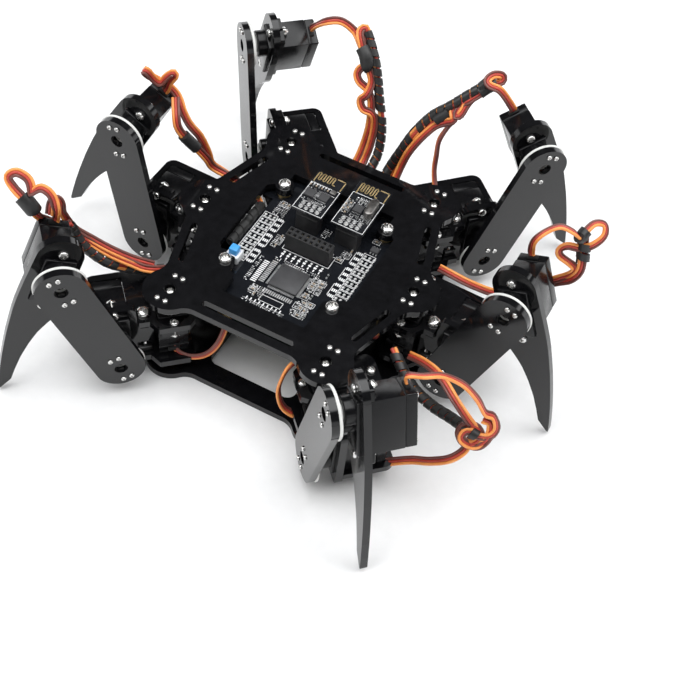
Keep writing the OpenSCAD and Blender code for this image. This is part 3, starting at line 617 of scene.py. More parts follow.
lay_lead("lead_left_middle_shown", from_servo(5, [
    (-76, 16.5, 83.5), (-73.5, 16.5, 88), (-74, 16, 89.5), (-76.5, 15.5, 87), (-79, 14, 83.5),
    (-80.5, 12, 86), (-82, 10, 90.5),
    (-83.5, 9, 91.5), (-83, 11, 88), (-81, 14.5, 84), (-78, 19, 78.5), (-74, 19.5, 74.5), (-70, 17, 70),
    (-66.5, 16.5, 65),
    (-63, 19, 58), (-60.5, 21, 49), (-59, 22, 42), (-55, 24, 38), (-46, 22.5, 37.2), (-38, 19.5, 38),
    (-32, 15.5, 39.6), (-29.1, 11.5, 40), (-29, 7, 41), (-29, 0, 41), (-29, -7, 41), (-29, -13, 41)]),
    leg_stops("left_middle", 0.36, 0.6),
    wraps=[((-30, 13, 40), (-29, 1, 41), 2.2, sleeve), ((-29, 1, 41), (-29, -12, 41), 2.2, sleeve)],
    node="lead_left_middle")

# Wrapped bundles of the other leads, and single leads that hang clear of the plates


def core(path, frames):
    """Three wires drawn together."""
    return joined([swept(path, [(s * math.cos(a) + n * math.sin(a), n * math.cos(a) - s * math.sin(a))
                                for s, n in frames],
                         round_section(0.8, 10, 0.75), kind)
                   for a, kind in ((0.3, "orange_wire"), (2.4, "red_wire"), (4.5, "brown_wire"))])


def wrapped(radius=2.1, pitch=4.0):
    """A bundle that is wound from end to end."""
    return lambda path, frames: joined([core(path, frames), coil_wrap(path, frames, radius, pitch, 0.84)])


def upper_stops(leg):
    return [(0.5, "femur_" + leg, "coxa_" + leg), (1.0, "coxa_" + leg, "body")]


lay_lead("bundle_left_front", [
    (-74.8, -58.6, 68), (-74.7, -56.3, 62), (-72.9, -55.8, 57), (-69.4, -54.3, 51), (-63.8, -51.8, 45.5),
    (-59.5, -47.5, 41),
    (-53, -42, 38), (-47, -36, 36), (-40, -28, 34.5), (-36, -21, 34)], upper_stops("left_front"),
    make=wrapped())
lay_lead("second_lead_left_front", [
    (-77, -66.5, 78.5), (-76.3, -65.5, 84), (-75, -63.5, 85), (-75.3, -61, 80), (-77, -58.5, 72),
    (-75, -55.5, 62),
    (-69.6, -51.5, 55), (-63, -48.5, 50), (-56, -44.5, 45), (-49, -40, 41)], upper_stops("left_front"))
lay_lead("bundle_right_front", [
    (96, -51, 45), (92, -48, 42), (86, -44, 38), (78, -40, 34), (68, -35, 32), (60, -29, 32),
    (52, -22, 33.5)],
    [(1.0, "coxa_right_front", "body")], make=wrapped(2.3, 4.4))
lay_lead("knot_right_front", [
    (100, -50, 54), (103, -49, 52), (104, -51, 47), (102, -53, 42), (98, -54, 41), (94.5, -54, 43),
    (94.5, -52.5, 47),
    (98, -51, 49), (101, -51.5, 46), (100, -53, 42), (96, -54, 41), (93, -52, 43), (94, -50, 46)],
    [(1.0, "femur_right_front", "coxa_right_front")])
lay_lead("bundle_right_rear", [
    (36, 87, 86), (34, 85, 83), (30, 81, 79.5), (25, 77, 74.5), (19, 74, 68.5), (14, 69, 60),
    (10.5, 66, 50), (7.5, 64, 41),
    (6.5, 57, 35), (6.5, 47, 34.5)], upper_stops("right_rear"), make=wrapped())
lay_lead("second_lead_right_rear", [
    (37, 86, 83), (32, 80, 79), (27, 77, 74.5), (29, 73.5, 71.5), (26, 73, 69), (22, 71.5, 66),
    (18, 68, 60), (14.5, 65, 52),
    (12.5, 63, 43), (12, 58, 36), (12.5, 50, 34.5)], upper_stops("right_rear"))
lay_lead("single_lead_right_rear", [
    (30, 77, 74), (29, 76, 70), (27, 74, 66), (25, 72, 59), (25, 72, 50), (26, 70, 43), (29, 66, 38),
    (32, 61, 36)],
    [(1.0, "femur_right_rear", "coxa_right_rear")], twist=(-65, -65))
lay_lead("bundle_left_rear", [
    (-21, 84, 90), (-19, 84, 88.5), (-16, 82, 85), (-12, 79, 80), (-9, 77, 73), (-6, 74.5, 65),
    (-3, 72.5, 57), (-1, 70, 49),
    (0, 66, 42), (-0.5, 60, 37), (0, 50, 34.5)], upper_stops("left_rear"), make=wrapped())
lay_lead("second_lead_left_rear", [
    (-15, 77, 80), (-18, 82, 87), (-20.5, 84, 91), (-22, 82, 90), (-20, 79.5, 87), (-15, 76.5, 80),
    (-11, 75, 73),
    (-11, 71, 68), (-13, 70, 65), (-11, 69, 61.5), (-7, 70, 60), (-5, 70, 55), (-4.5, 67, 45),
    (-5, 63, 38), (-4, 54, 35)],
    upper_stops("left_rear"))
lay_lead("second_lead_left_middle", [
    (-73, 16, 77), (-69, 10, 74), (-67, 8, 70), (-65, 10, 64), (-61.5, 14, 56), (-59, 18, 48),
    (-58, 21, 41.5), (-53, 23, 38.2), (-46, 22, 38), (-39, 19, 38.5)], upper_stops("left_middle"),
    wraps=[((-65, 10, 64), (-62, 13.5, 57), 2.5, tape)])
lay_lead("second_lead_right_middle", [
    (104, 24, 87), (106, 22, 79), (107, 20, 73), (104.5, 20.5, 66), (99, 22, 59.5), (92, 22.5, 51.5),
    (84, 22.5, 44)], [(1.0, "femur_right_middle", "coxa_right_middle")],
    wraps=[((104.5, 23.5, 85), (106.5, 21, 76), 2.7, coil_wrap)])
lay_lead("yaw_lead_right_front", [
    (26, -46, 39), (22, -52.5, 37), (20, -55.5, 31), (19, -56.5, 22), (21, -56.5, 14), (25, -55.5, 10),
    (30, -54, 9.5), (36, -53, 10)],
    [(1.0, "body", "coxa_right_front")], facing=np.array((0.9, 0.1, 0.3)))
lay_lead("yaw_lead_left_front", [
    (-38, -51, 24), (-34, -51.5, 20), (-33, -53, 16), (-29, -54, 12.5), (-24, -53, 11.5),
    (-19, -51, 13.5), (-15, -50, 19),
    (-12, -49, 27), (-11, -45, 36)], [(1.0, "coxa_left_front", "body")], twist=(-60, -60))
lay_lead("hip_lead_right_front", [
    (68, -58, 10), (72, -57, 13), (79, -56, 18), (86, -57, 24), (93, -57, 31), (97, -55, 37),
    (98, -51.5, 42)],
    [(1.0, "coxa_right_front", "femur_right_front")], twist=(0, 20))

# ---------------------------------------------------------------- screws, nuts, horns

def screw(r, head_r, head_h, length, kind="steel", sides=28, threaded=True):
    """Pan-head screw along Z: the head's underside is at z = 0 and the shank points down."""
    dome = [(0, -0.01), (head_r * 0.96, 0), (head_r, 0.1 * head_h), (head_r, 0.35 * head_h),
            (head_r * 0.95, 0.6 * head_h), (head_r * 0.83, 0.8 * head_h), (head_r * 0.62, 0.94 * head_h),
            (head_r * 0.32, head_h), (0, head_h)]
    head = lathe(dome, kind, sides)
    w = head_r * 0.17
    arms = [block((-head_r * 0.5, -w, head_h * 0.45), (head_r * 0.5, w, head_h * 1.5), kind),
            block((-w, -head_r * 0.5, head_h * 0.45), (w, head_r * 0.5, head_h * 1.5), kind)]
    out = cut_out(head, arms, kind)
    shank = [(0, -length), (r * 0.75, -length), (r, -length + r * 0.5)]
    if threaded:
        pitch = 0.5 if r > 1.2 else 0.4
        z = -length + r * 0.5 + pitch
        while z < -pitch:
            shank += [(r * 0.86, z - pitch / 2), (r, z)]
            z += pitch
    shank += [(r, -0.02), (0, -0.02)]
    return out.add(lathe(shank, kind, 16 if r > 0.8 else 10))


def sunk_screw(length):
    """M3 screw with a sunk head, its top just under z = 0."""
    head = lathe([(0, -1.4), (1.5, -1.35), (2.8, -0.12), (2.8, -0.05), (0, -0.05)], "steel", 28)
    arms = [block((-1.5, -0.35, -0.8), (1.5, 0.35, 1), "steel"),
            block((-0.35, -1.5, -0.8), (0.35, 1.5, 1), "steel")]
    shank = [(0, -length), (1.2, -length), (1.5, -length + 0.6), (1.5, -1.3), (0, -1.3)]
    return cut_out(head, arms, "steel").add(lathe(shank, "steel", 16))


def square_nut(width, height, hole, kind):
    """Square nut centred on z = 0."""
    w, h = width / 2, height / 2
    return cut_out(block((-w, -w, -h), (w, w, h), kind, 0.25, 2),
                   [lathe([(0, -3), (hole, -3), (hole, 3), (0, 3)], kind, 20)],
                   kind)


def nut(r, height, hole, kind="steel"):
    """Hexagonal nut from z = 0 up."""
    bm = bmesh.new()
    ring = [bm.verts.new((r * math.cos(k * math.pi / 3), r * math.sin(k * math.pi / 3), 0))
            for k in range(6)]
    out = bmesh.ops.extrude_face_region(bm, geom=[bm.faces.new(ring)])
    bmesh.ops.translate(bm, vec=(0, 0, height),
                        verts=[v for v in out["geom"] if isinstance(v, bmesh.types.BMVert)])
    rounded(bm, 0.15, 1)
    body = from_bmesh(bm, kind)
    return cut_out(body, [lathe([(0, -1), (hole, -1), (hole, height + 1), (0, height + 1)], kind, 16)],
                   kind)


M3_SCREW = screw(1.5, 2.75, 1.9, 11.0)
M3_SHORT = screw(1.5, 2.75, 1.9, 7.0)
M3_SUNK = sunk_screw(9.5)
M3_NUT = square_nut(5.35, 2.55, 1.55, "black_steel")
M2_SCREW = screw(0.95, 1.9, 1.3, 8.0, sides=20)
M2_NUT = nut(2.2, 1.5, 1.0)
TINY_SCREW = screw(0.7, 1.1, 0.75, 4.0, sides=16, threaded=False)
HUB_SCREW = screw(1.0, 1.9, 1.0, 4.0, sides=20, threaded=False)
TALL_SCREW = screw(1.0, 2.2, 2.9, 4.0, sides=24, threaded=False)
CASE_SCREW = screw(0.6, 1.05, 0.5, 1.0, sides=14, threaded=False)


def horn_disc():
    """White horn disc with its hub, the face that meets the plate at z = 0."""
    r, t = HORN_R, HORN_T
    return lathe([(0, -0.72), (2.5, -0.72), (2.6, 0), (r - 0.3, 0), (r, -0.3), (r, -t + 0.3),
                  (r - 0.3, -t), (8.0, -t), (7.8, -t + 0.25), (4.6, -t + 0.25), (4.4, -t), (3.7, -t),
                  (3.6, -t - HUB_T + 0.1), (2.4, -t - HUB_T + 0.1), (2.4, -t - HUB_T - 2.9),
                  (0, -t - HUB_T - 2.9)], "nylon", 72)


HORN = horn_disc()
HORN_SCREW_AT = [(sx * 6.6, sy * 1.8) for sx in (-1, 1) for sy in (-1, 1)]


def servo():
    """Small servo, shaft along Z, top of the case at z = 0: three mouldings with fine seams between them."""
    far, h = SHAFT_END - CASE_L, CASE_W / 2
    parts = [
        block((far, -h, -CASE_H), (SHAFT_END, h, -18.3), "servo", 0.5, 3),
        block((far, -h, -18.12), (SHAFT_END, h, -3.1), "servo", 0.22, 2),
        block((far, -h, -2.95), (SHAFT_END, h, 0), "servo", 0.45, 3),
        block((far + 0.25, -h + 0.25, -18.6), (SHAFT_END - 0.25, h - 0.25, -2.5), "seam"),
    ]
    for inner, outer in ((far + 0.4, far - EAR_OUT), (SHAFT_END - 0.4, SHAFT_END + EAR_OUT)):
        s = 1 if outer > inner else -1
        corner = [(outer - s * 1.2 + s * 1.2 * math.cos(a), t * (h - 1.2) + t * 1.2 * math.sin(a))
                  for t, steps in ((1, (90, 60, 30, 0)), (-1, (0, 30, 60, 90)))
                  for a in map(math.radians, steps)]
        ear = prism([(inner, h)] + corner + [(inner, -h)], -EAR_DROP - EAR_T, -EAR_DROP, "servo", 0.2)
        hole = outer - s * EAR_HOLE
        slot = [block((min(hole, outer + s), -0.55, -9), (max(hole, outer + s), 0.55, -3), "servo"),
                lathe([(0, -9), (1.0, -9), (1.0, -3), (0, -3)], "servo", 20).placed(move(hole, 0, 0))]
        parts.append(cut_out(ear, slot, "servo"))
    boss = [(0, 0), (SHAFT_END - 0.1, 0), (SHAFT_END - 0.1, BOSS_H - 0.4), (SHAFT_END - 0.5, BOSS_H),
            (3.4, BOSS_H), (3.3, BOSS_H - 0.5), (2.5, BOSS_H - 0.5), (2.5, BOSS_H - 2.5),
            (0, BOSS_H - 2.5)]
    parts.append(lathe(boss, "servo", 48))
    small = [(0, 0), (2.9, 0), (2.9, BOSS_H - 0.4), (2.5, BOSS_H), (0, BOSS_H)]
    parts.append(lathe(small, "servo", 32).placed(move(-6.2, 0, 0)))
    for x in (far + 1.5, SHAFT_END - 1.5):
        for y in (-h + 1.5, h - 1.5):
            parts.append(CASE_SCREW.placed(move(x, y, -CASE_H) @ turn(180, "X")))
    parts.append(block((SHAFT_END - 0.4, -2.4, -21.3), (SHAFT_END + 0.9, 2.4, -19.3), "seam", 0.3, 2))
    parts.append(block((far - 0.12, -2.9, -10.5), (far + 0.1, 2.9, -9.9), "servo", 0.04, 1))
    return joined(parts)


SERVO = servo()
EAR_SCREW_X = [SHAFT_END + EAR_OUT - EAR_HOLE, SHAFT_END - CASE_L - EAR_OUT + EAR_HOLE]


def ear_screws():
    """The two M2 screws and nuts that clamp a servo's ears, with the plate's outer face at z = 0."""
    out = Part()
    for x in EAR_SCREW_X:
        out.add(M2_SCREW.placed(move(x, 0, 0)))
        out.add(M2_NUT.placed(move(x, 0, -PLATE - EAR_T - 1.55)))
    return out


EAR_SCREWS = ear_screws()

# ---------------------------------------------------------------- legs


def on_horn(part):
    """A part at each of a horn's four screws."""
    return joined([part.placed(move(x, y, 0)) for x, y in HORN_SCREW_AT])


HORN_SCREWS = on_horn(TINY_SCREW)

for i, leg in enumerate(LEGS):
    coxa, femur, claw = "coxa_" + leg, "femur_" + leg, "claw_" + leg
    at_leg, at_femur, at_claw = leg_frame(i), femur_frame(i), claw_frame(i)
    servos = joined([SERVO.placed(at_leg @ YAW_SERVO), SERVO.placed(at_leg @ HIP_SERVO)])
    stand_in("coxa_servos_shown_" + leg, servos, coxa, ["coxa_servos_" + leg])
    upper = move(11.15, HIP_PLATE_BACK + PLATE / 2, COXA_TOP_Z + PLATE)
    lower = move(11.15, HIP_PLATE_BACK + PLATE / 2, COXA_BOTTOM_Z) @ turn(180, "X")
    fasteners = Part()
    for place in (upper, lower):
        fasteners.add(M3_SHORT.placed(at_leg @ place))
        fasteners.add(M3_NUT.placed(at_leg @ place @ move(0, 0, -PLATE - 1.35)))
    fasteners.add(EAR_SCREWS.placed(at_leg @ move(0, 0, COXA_TOP_Z + PLATE) @ turn(90, "Z")))
    fasteners.add(EAR_SCREWS.placed(at_leg @ HIP_SERVO @ move(0, 0, -EAR_DROP + PLATE)))
    stand_in("coxa_screws_shown_" + leg, fasteners, coxa, ["coxa_screws_" + leg])
    discs, screws = Part(), Part()
    for x in (0, FEMUR_L):
        face = at_femur @ move(x, FEMUR_FACE, 0) @ turn(-90, "X")
        discs.add(HORN.placed(face @ move(0, 0, -PLATE)))
        screws.add(HORN_SCREWS.placed(face))
        screws.add(HUB_SCREW.placed(face @ move(0, 0, -PLATE - 0.72)))
    stand_in("femur_horns_shown_" + leg, discs, femur, ["femur_horns_" + leg])
    stand_in("femur_screws_shown_" + leg, screws, femur)
    stand_in("claw_servo_shown_" + leg, SERVO.placed(at_claw @ KNEE_SERVO), claw, ["claw_servo_" + leg])
    stand_in("claw_screws_shown_" + leg,
             EAR_SCREWS.placed(at_claw @ KNEE_SERVO @ move(0, 0, -EAR_DROP + PLATE)),
             claw)
    for node in ("coxa_plates_", "femur_plate_", "claw_plate_"):
        dress(node + leg, "acrylic")

# ---------------------------------------------------------------- body

for node in ("top_plate", "bottom_plate"):
    dress(node, "acrylic")
dress("standoffs", "brass")
dress("control_board", "board")
dress("battery_holder", "plastic")
dress("battery_cells", "cell")

screws, discs = Part(), Part()
for sx in (-1, 1):
    for sy in (-1, 1):
        screws.add(M3_SCREW.placed(move(sx * 24.5, sy * 25, BODY_H)))
        screws.add(M3_SUNK.placed(move(sx * 24.5, sy * 25, 0) @ turn(180, "X")))
for x, y in LEG_AT:
    screws.add(M3_SUNK.placed(move(x, y, 0) @ turn(180, "X")))
    top = move(x, y, BODY_H) @ turn(90, "Z")
    screws.add(HORN_SCREWS.placed(top))
    screws.add(TALL_SCREW.placed(top @ move(0, 0, -PLATE - 0.72)))
    discs.add(HORN.placed(top @ move(0, 0, -PLATE)))
stand_in("body_screws_shown", screws, "body", ["body_screws"])
stand_in("yaw_horns_shown", discs, "body", ["yaw_horns"])

# ---------------------------------------------------------------- control board

def tile(x0, x1, y0, y1, z, t, kind, radius=0.0):
    return block((x0, y0, z), (x1, y1, z + t), kind, radius, 1)


def ring(x0, x1, y0, y1, z, w=0.22, t=0.04, kind="silk"):
    """A printed rectangle's outline."""
    return joined([tile(x0, x1, y0, y0 + w, z, t, kind), tile(x0, x1, y1 - w, y1, z, t, kind),
                   tile(x0, x0 + w, y0 + w, y1 - w, z, t, kind),
                   tile(x1 - w, x1, y0 + w, y1 - w, z, t, kind)])


def solder_dot(x, y, z, r=0.75, h=0.55):
    return lathe([(0, z), (r, z), (r * 0.75, z + h * 0.45), (r * 0.35, z + h * 0.85), (0, z + h)],
                 "solder", 10) \
        .placed(move(x, y, 0))


def scatter(x0, x1, y0, y1, z, step, angle=0.0):
    """Rows of short printed marks and pads that fill a patch in an uneven order."""
    out = Part()
    columns, rows = int((x1 - x0) / step), int((y1 - y0) / step)
    for i in range(columns):
        for j in range(rows):
            n = (i * 7 + j * 11 + i * j * 3) % 13
            if n in (2, 8):
                continue
            x, y = x0 + (i + 0.5) * step, y0 + (j + 0.5) * step
            long, thin = step * (0.26 + 0.018 * n), step * (0.13 + 0.01 * (n % 4))
            w, l = (long, thin) if (i + 2 * j + n) % 3 else (thin, long)
            kind = "silk" if n % 3 else "solder"
            out.add(tile(x - w, x + w, y - l, y + l, z, 0.04 if n % 3 else 0.25, kind))
    middle = ((x0 + x1) / 2, (y0 + y1) / 2, 0)
    return out.placed(move(*middle) @ turn(angle, "Z") @ move(*[-v for v in middle])) if angle else out


Z = BOARD_Z
silk, metal_bits, bodies = Part(), Part(), Part()
for patch in ((-15.2, -10.6, -5.0, 3.4), (12.8, 16.6, 3.6, 10.0), (-9.6, 11.8, -10.6, -8.6),
              (9.6, 16.4, -33.4, -23.4),
              (9.6, 15.6, -18.8, -9.4), (-10.6, 8.6, -37.2, -33.6), (-15.4, -13.0, -26.6, -11.0),
              (-23.4, -17.0, 11.4, 20.2),
              (-10.4, -3.4, -31.8, -25.6), (0.4, 4.2, 10.4, 16.6), (-9.6, -6.8, 3.8, 8.4)):
    silk.add(scatter(*patch, Z, 0.95))
# Nine three-pin servo rows down each side, in three boxed groups
for side, x_pins, x_box in ((-1, -25.0, (-19.6, -16.2)), (1, 22.0, (17.8, 21.2))):
    for g in range(3):
        y0 = 3.2 - 10.0 * g + (0.8 if side > 0 else 0)
        silk.add(ring(x_box[0], x_box[1], y0, y0 + 7.0, Z))
        for row in range(3):
            y = y0 + 0.2 + 3.3 * row
            silk.add(ring(x_pins - 1.1, x_pins + 5.3 if side < 0 else x_pins + 4.4, y - 1.5, y + 1.5, Z,
                          0.2))
            for c in range(3):
                metal_bits.add(solder_dot(x_pins + 2.1 * c, y, Z, 0.7))
                silk.add(tile(x_pins + 2.1 * c - 0.5, x_pins + 2.1 * c + 0.5, y - 1.2, y - 0.95, Z, 0.04,
                              "silk"))
            for k in range(3):
                silk.add(tile(x_box[0] + 0.6 + 0.85 * k, x_box[0] + 1.15 + 0.85 * k, y - 0.75, y + 0.75,
                              Z, 0.04, "silk"))
# Square chip with its leads and the printed ladders around it
bodies.add(block((-5.0, -24.2, Z + 0.15), (7.8, -11.6, Z + 1.45), "chip", 0.25, 2))
bodies.add(lathe([(0, Z + 1.45), (0.5, Z + 1.45), (0.5, Z + 1.47), (0, Z + 1.47)], "plastic",
                 16).placed(move(-3.8, -12.9, 0)))
for k in range(22):
    x = -4.3 + k * 11.4 / 21
    y = -23.6 + k * 11.4 / 21
    for a, b, c, d in ((x, -11.7, 1, 0), (x, -24.1, -1, 0), (-5.0, y, 0, -1), (7.8, y, 0, 1)):
        if c:
            metal_bits.add(tile(a - 0.13, a + 0.13, min(b, b + c * 1.15), max(b, b + c * 1.15), Z + 0.02,
                                0.3, "solder"))
        else:
            metal_bits.add(tile(min(a, a + d * 1.15), max(a, a + d * 1.15), b - 0.13, b + 0.13, Z + 0.02,
                                0.3, "solder"))
for k in range(13):
    y = -23.5 + k
    metal_bits.add(tile(-9.6, -7.2, y - 0.32, y + 0.32, Z, 0.06, "solder"))
    silk.add(tile(-12.6, -10.2, y - 1.6 - 0.28, y - 1.6 + 0.22, Z, 0.04, "silk"))
for k in range(14):
    x = -5.0 + 0.95 * k
    metal_bits.add(tile(x - 0.3, x + 0.3, -28.3, -26.2, Z, 0.06, "solder"))
for k in range(9):
    x = -9.0 + 1.9 * k
    silk.add(tile(x - 0.25, x + 0.25, -35.2, -33.4, Z, 0.04, "silk"))
silk.add(ring(-4.5, 5.5, -33.0, -29.6, Z, 0.2))
# Small two-terminal parts in front of and beside the chip
for n, (x, y, across) in enumerate([(-9.0, -27.0, 0), (-9.0, -29.2, 0), (-7.4, -31.2, 1),
                                    (10.9, -12.2, 0), (10.9, -14.0, 0),
                                    (10.9, -15.8, 0), (11.4, -17.8, 1), (13.9, -12.4, 0),
                                    (13.9, -14.4, 0), (14.1, -17.0, 1),
                                    (11.0, -20.4, 0), (11.0, -22.2, 0), (13.4, -21.0, 1),
                                    (15.0, -24.6, 0), (12.4, -25.0, 0),
                                    (10.2, -27.6, 1), (12.2, -28.2, 1), (14.2, -28.8, 1),
                                    (10.4, -31.0, 0), (12.9, -32.0, 0),
                                    (-12.8, 2.0, 1), (-12.6, -0.8, 1), (-12.8, -3.6, 1), (13.6, 3.0, 0),
                                    (13.8, -7.6, 1),
                                    (-21.5, 19.0, 1), (-19.0, 19.0, 1), (15.6, 7.0, 1), (16.0, 9.8, 1),
                                    (22.6, 20.5, 0)]):
    w, l = (0.5, 0.95) if across else (0.95, 0.5)
    bodies.add(block((x - w * 0.62, y - l * 0.62, Z), (x + w * 0.62, y + l * 0.62, Z + 0.5),
                     "cap" if n % 3 else "plastic", 0.06, 1))
    for s in (-1, 1):
        dx, dy = (0, s * 0.8) if across else (s * 0.8, 0)
        metal_bits.add(tile(x + dx - 0.36, x + dx + 0.36, y + dy - 0.36, y + dy + 0.36, Z, 0.42,
                            "solder"))
    if n % 2:
        silk.add(ring(x - w - 0.75, x + w + 0.75, y - l - 0.75, y + l + 0.75, Z, 0.14))
# Eight-by-two socket, its outline and its joints
silk.add(ring(-9.9, 12.0, -3.6, 3.4, Z, 0.25))
for k in range(8):
    x = -7.9 + 2.54 * k
    silk.add(tile(x - 0.7, x + 0.5, -6.6, -5.6, Z, 0.04, "silk"))
    silk.add(tile(x - 0.35, x + 0.15, -8.3, -7.1, Z, 0.04, "silk"))
    metal_bits.add(solder_dot(x, -4.6, Z, 0.6, 0.3))
    metal_bits.add(solder_dot(x, 4.6, Z, 0.6, 0.3))


def socket(columns, rows, x, y):
    """Pin socket with funnel-mouthed square wells and a spring contact in each."""
    p = 2.54
    out = block((-columns * p / 2, -rows * p / 2, 0), (columns * p / 2, rows * p / 2, SOCKET_H),
                "plastic", 0.12, 1)
    wells = []
    for i in range(columns):
        for j in range(rows):
            cx, cy = (i + 0.5 - columns / 2) * p, (j + 0.5 - rows / 2) * p
            w, d = 0.78, 0.42
            top, deep = SOCKET_H + 0.01, SOCKET_H - 0.55
            pts = [(cx + sx * w, cy + sy * w, top) for sx, sy in ((-1, -1), (1, -1), (1, 1), (-1, 1))]
            pts += [(cx + sx * d, cy + sy * d, deep) for sx, sy in ((-1, -1), (1, -1), (1, 1), (-1, 1))]
            pts += [(cx + sx * d, cy + sy * d, SOCKET_H - 4) for sx,
                    sy in ((-1, -1), (1, -1), (1, 1), (-1, 1))]
            quads = [(0, 1, 2, 3), (8, 11, 10, 9)]
            quads += [(a, a + 4, (a + 1) % 4 + 4, (a + 1) % 4) for a in range(4)]
            quads += [(a + 4, a + 8, (a + 1) % 4 + 8, (a + 1) % 4 + 4) for a in range(4)]
            wells.append(Part(pts, quads, ["plastic"] * 10))
    out = cut_out(out, [joined(wells)], "plastic")
    for i in range(columns):
        for j in range(rows):
            cx, cy = (i + 0.5 - columns / 2) * p, (j + 0.5 - rows / 2) * p
            out.add(block((cx - 0.38, cy - 0.1, SOCKET_H - 3.8), (cx - 0.26, cy + 0.1, SOCKET_H - 0.9),
                          "gold"))
    return out.placed(move(x, y, Z))


stand_in("board_parts_shown", joined([bodies, socket(8, 2, 1, -0.2), socket(4, 2, -6, 12.5),
                                      socket(4, 2, 12.2, 13.5)]),
         "body", ["board_parts"])
stand_in("board_print", silk, "body")
stand_in("board_joints", metal_bits, "body")
stand_in("small_regulator", joined([block((22.4, 14.0, Z + 0.1), (26.0, 16.8, Z + 1.3), "chip", 0.15,
                                          1)] + [
    tile(x, x + 0.5, y, y + 0.9, Z, 0.25, "solder") for x in (22.7, 24.0, 25.3) for y in (13.2, 16.8)]),
    "body")

# ---------------------------------------------------------------- radio modules


def strip(points, width, z, t, kind):
    """A flat printed track along straight runs."""
    out = Part()
    for (x0, y0), (x1, y1) in zip(points, points[1:]):
        w = width / 2
        out.add(tile(min(x0, x1) - w, max(x0, x1) + w, min(y0, y1) - w, max(y0, y1) + w, z, t, kind))
    return out


def meander(x0, x1, y0, y1, turns, z):
    """Printed aerial: a square wave of gold track."""
    pts, step = [(x0, y0)], (x1 - x0) / (2 * turns)
    for k in range(2 * turns):
        y = y1 if k % 2 == 0 else y0 + (y1 - y0) * 0.25
        pts += [(x0 + k * step, y), (x0 + (k + 1) * step, y)]
    return strip(pts, 0.55, z, 0.05, "gold")


RZ = BOARD_Z + SOCKET_H + 2.5
TOP = RZ + 1.2
radio = Part()
for x0, y0, w, l in ((-13.2, 9.0, 14.3, 24.8), (4.6, 10.0, 15.2, 28.0)):
    radio.add(block((x0, y0, RZ), (x0 + w, y0 + l, TOP), "radio_board", 0.1, 1))
    radio.add(ring(x0 + 0.35, x0 + w - 0.35, y0 + 0.35, y0 + l - 7.2, TOP, 0.22))
for cx, cy in ((-6, 12.5), (12.2, 13.5)):
    radio.add(block((cx - 5.08, cy - 2.54, RZ - 2.5), (cx + 5.08, cy + 2.54, RZ), "plastic", 0.15, 1))
    for i in range(4):
        for j in range(2):
            x, y = cx + (i - 1.5) * 2.54, cy + (j - 0.5) * 2.54
            radio.add(lathe([(0, TOP), (0.95, TOP), (0.95, TOP + 0.06), (0, TOP + 0.06)], "solder",
                            16).placed(move(x, y, 0)))
            radio.add(solder_dot(x, y, TOP, 0.7, 0.9))
            radio.add(tile(x - 1.22, x + 1.22, y + 1.15, y + 1.27, TOP, 0.04, "silk"))
radio.add(meander(-12.3, -3.4, 27.6, 33.2, 4, TOP))
radio.add(strip([(-3.4, 33.2), (0.2, 33.2), (0.2, 27.6)], 0.5, TOP, 0.05, "gold"))
radio.add(meander(6.2, 15.0, 30.6, 37.2, 4, TOP))
radio.add(strip([(15.0, 37.2), (18.9, 37.2), (18.9, 31.0)], 0.5, TOP, 0.05, "gold"))
# First module: a flash chip and a radio chip with their pads
radio.add(block((-12.0, 17.6, TOP + 0.1), (-7.6, 21.9, TOP + 0.95), "chip", 0.12, 1))
radio.add(block((-5.8, 18.2, TOP), (-1.6, 22.6, TOP + 0.75), "chip", 0.12, 1))
for k in range(4):
    radio.add(tile(-12.8, -12.0, 18.1 + k * 1.0, 18.5 + k * 1.0, TOP, 0.3, "solder"))
    radio.add(tile(-7.6, -6.8, 18.1 + k * 1.0, 18.5 + k * 1.0, TOP, 0.3, "solder"))
for k in range(7):
    radio.add(tile(-5.4 + k * 0.56, -5.15 + k * 0.56, 17.4, 18.1, TOP, 0.1, "solder"))
    radio.add(tile(-5.4 + k * 0.56, -5.15 + k * 0.56, 22.7, 23.3, TOP, 0.1, "solder"))
for k in range(9):
    radio.add(tile(-12.6 + k * 1.35, -12.0 + k * 1.35, 24.4, 25.2, TOP, 0.35,
                   "solder" if k % 2 else "cap"))
    radio.add(tile(-12.6 + k * 1.35, -12.1 + k * 1.35, 25.7, 26.2, TOP, 0.04, "silk"))
radio.add(block((-2.9, 24.0, TOP), (-0.4, 26.2, TOP + 0.7), "tin", 0.2, 1))
for patch in ((-12.8, 0.6, 15.4, 17.3, 0.75), (-7.4, -5.9, 17.6, 23.4, 0.7),
              (-12.8, -8.0, 22.2, 24.2, 0.7), (-6.4, 0.4, 22.6, 24.0, 0.7),
              (5.2, 9.4, 17.4, 26.0, 0.72), (9.6, 14.2, 16.6, 19.4, 0.7), (9.4, 14.4, 25.0, 30.0, 0.74),
              (14.2, 19.2, 16.4, 20.2, 0.76)):
    radio.add(scatter(*patch[:4], TOP, patch[4]))
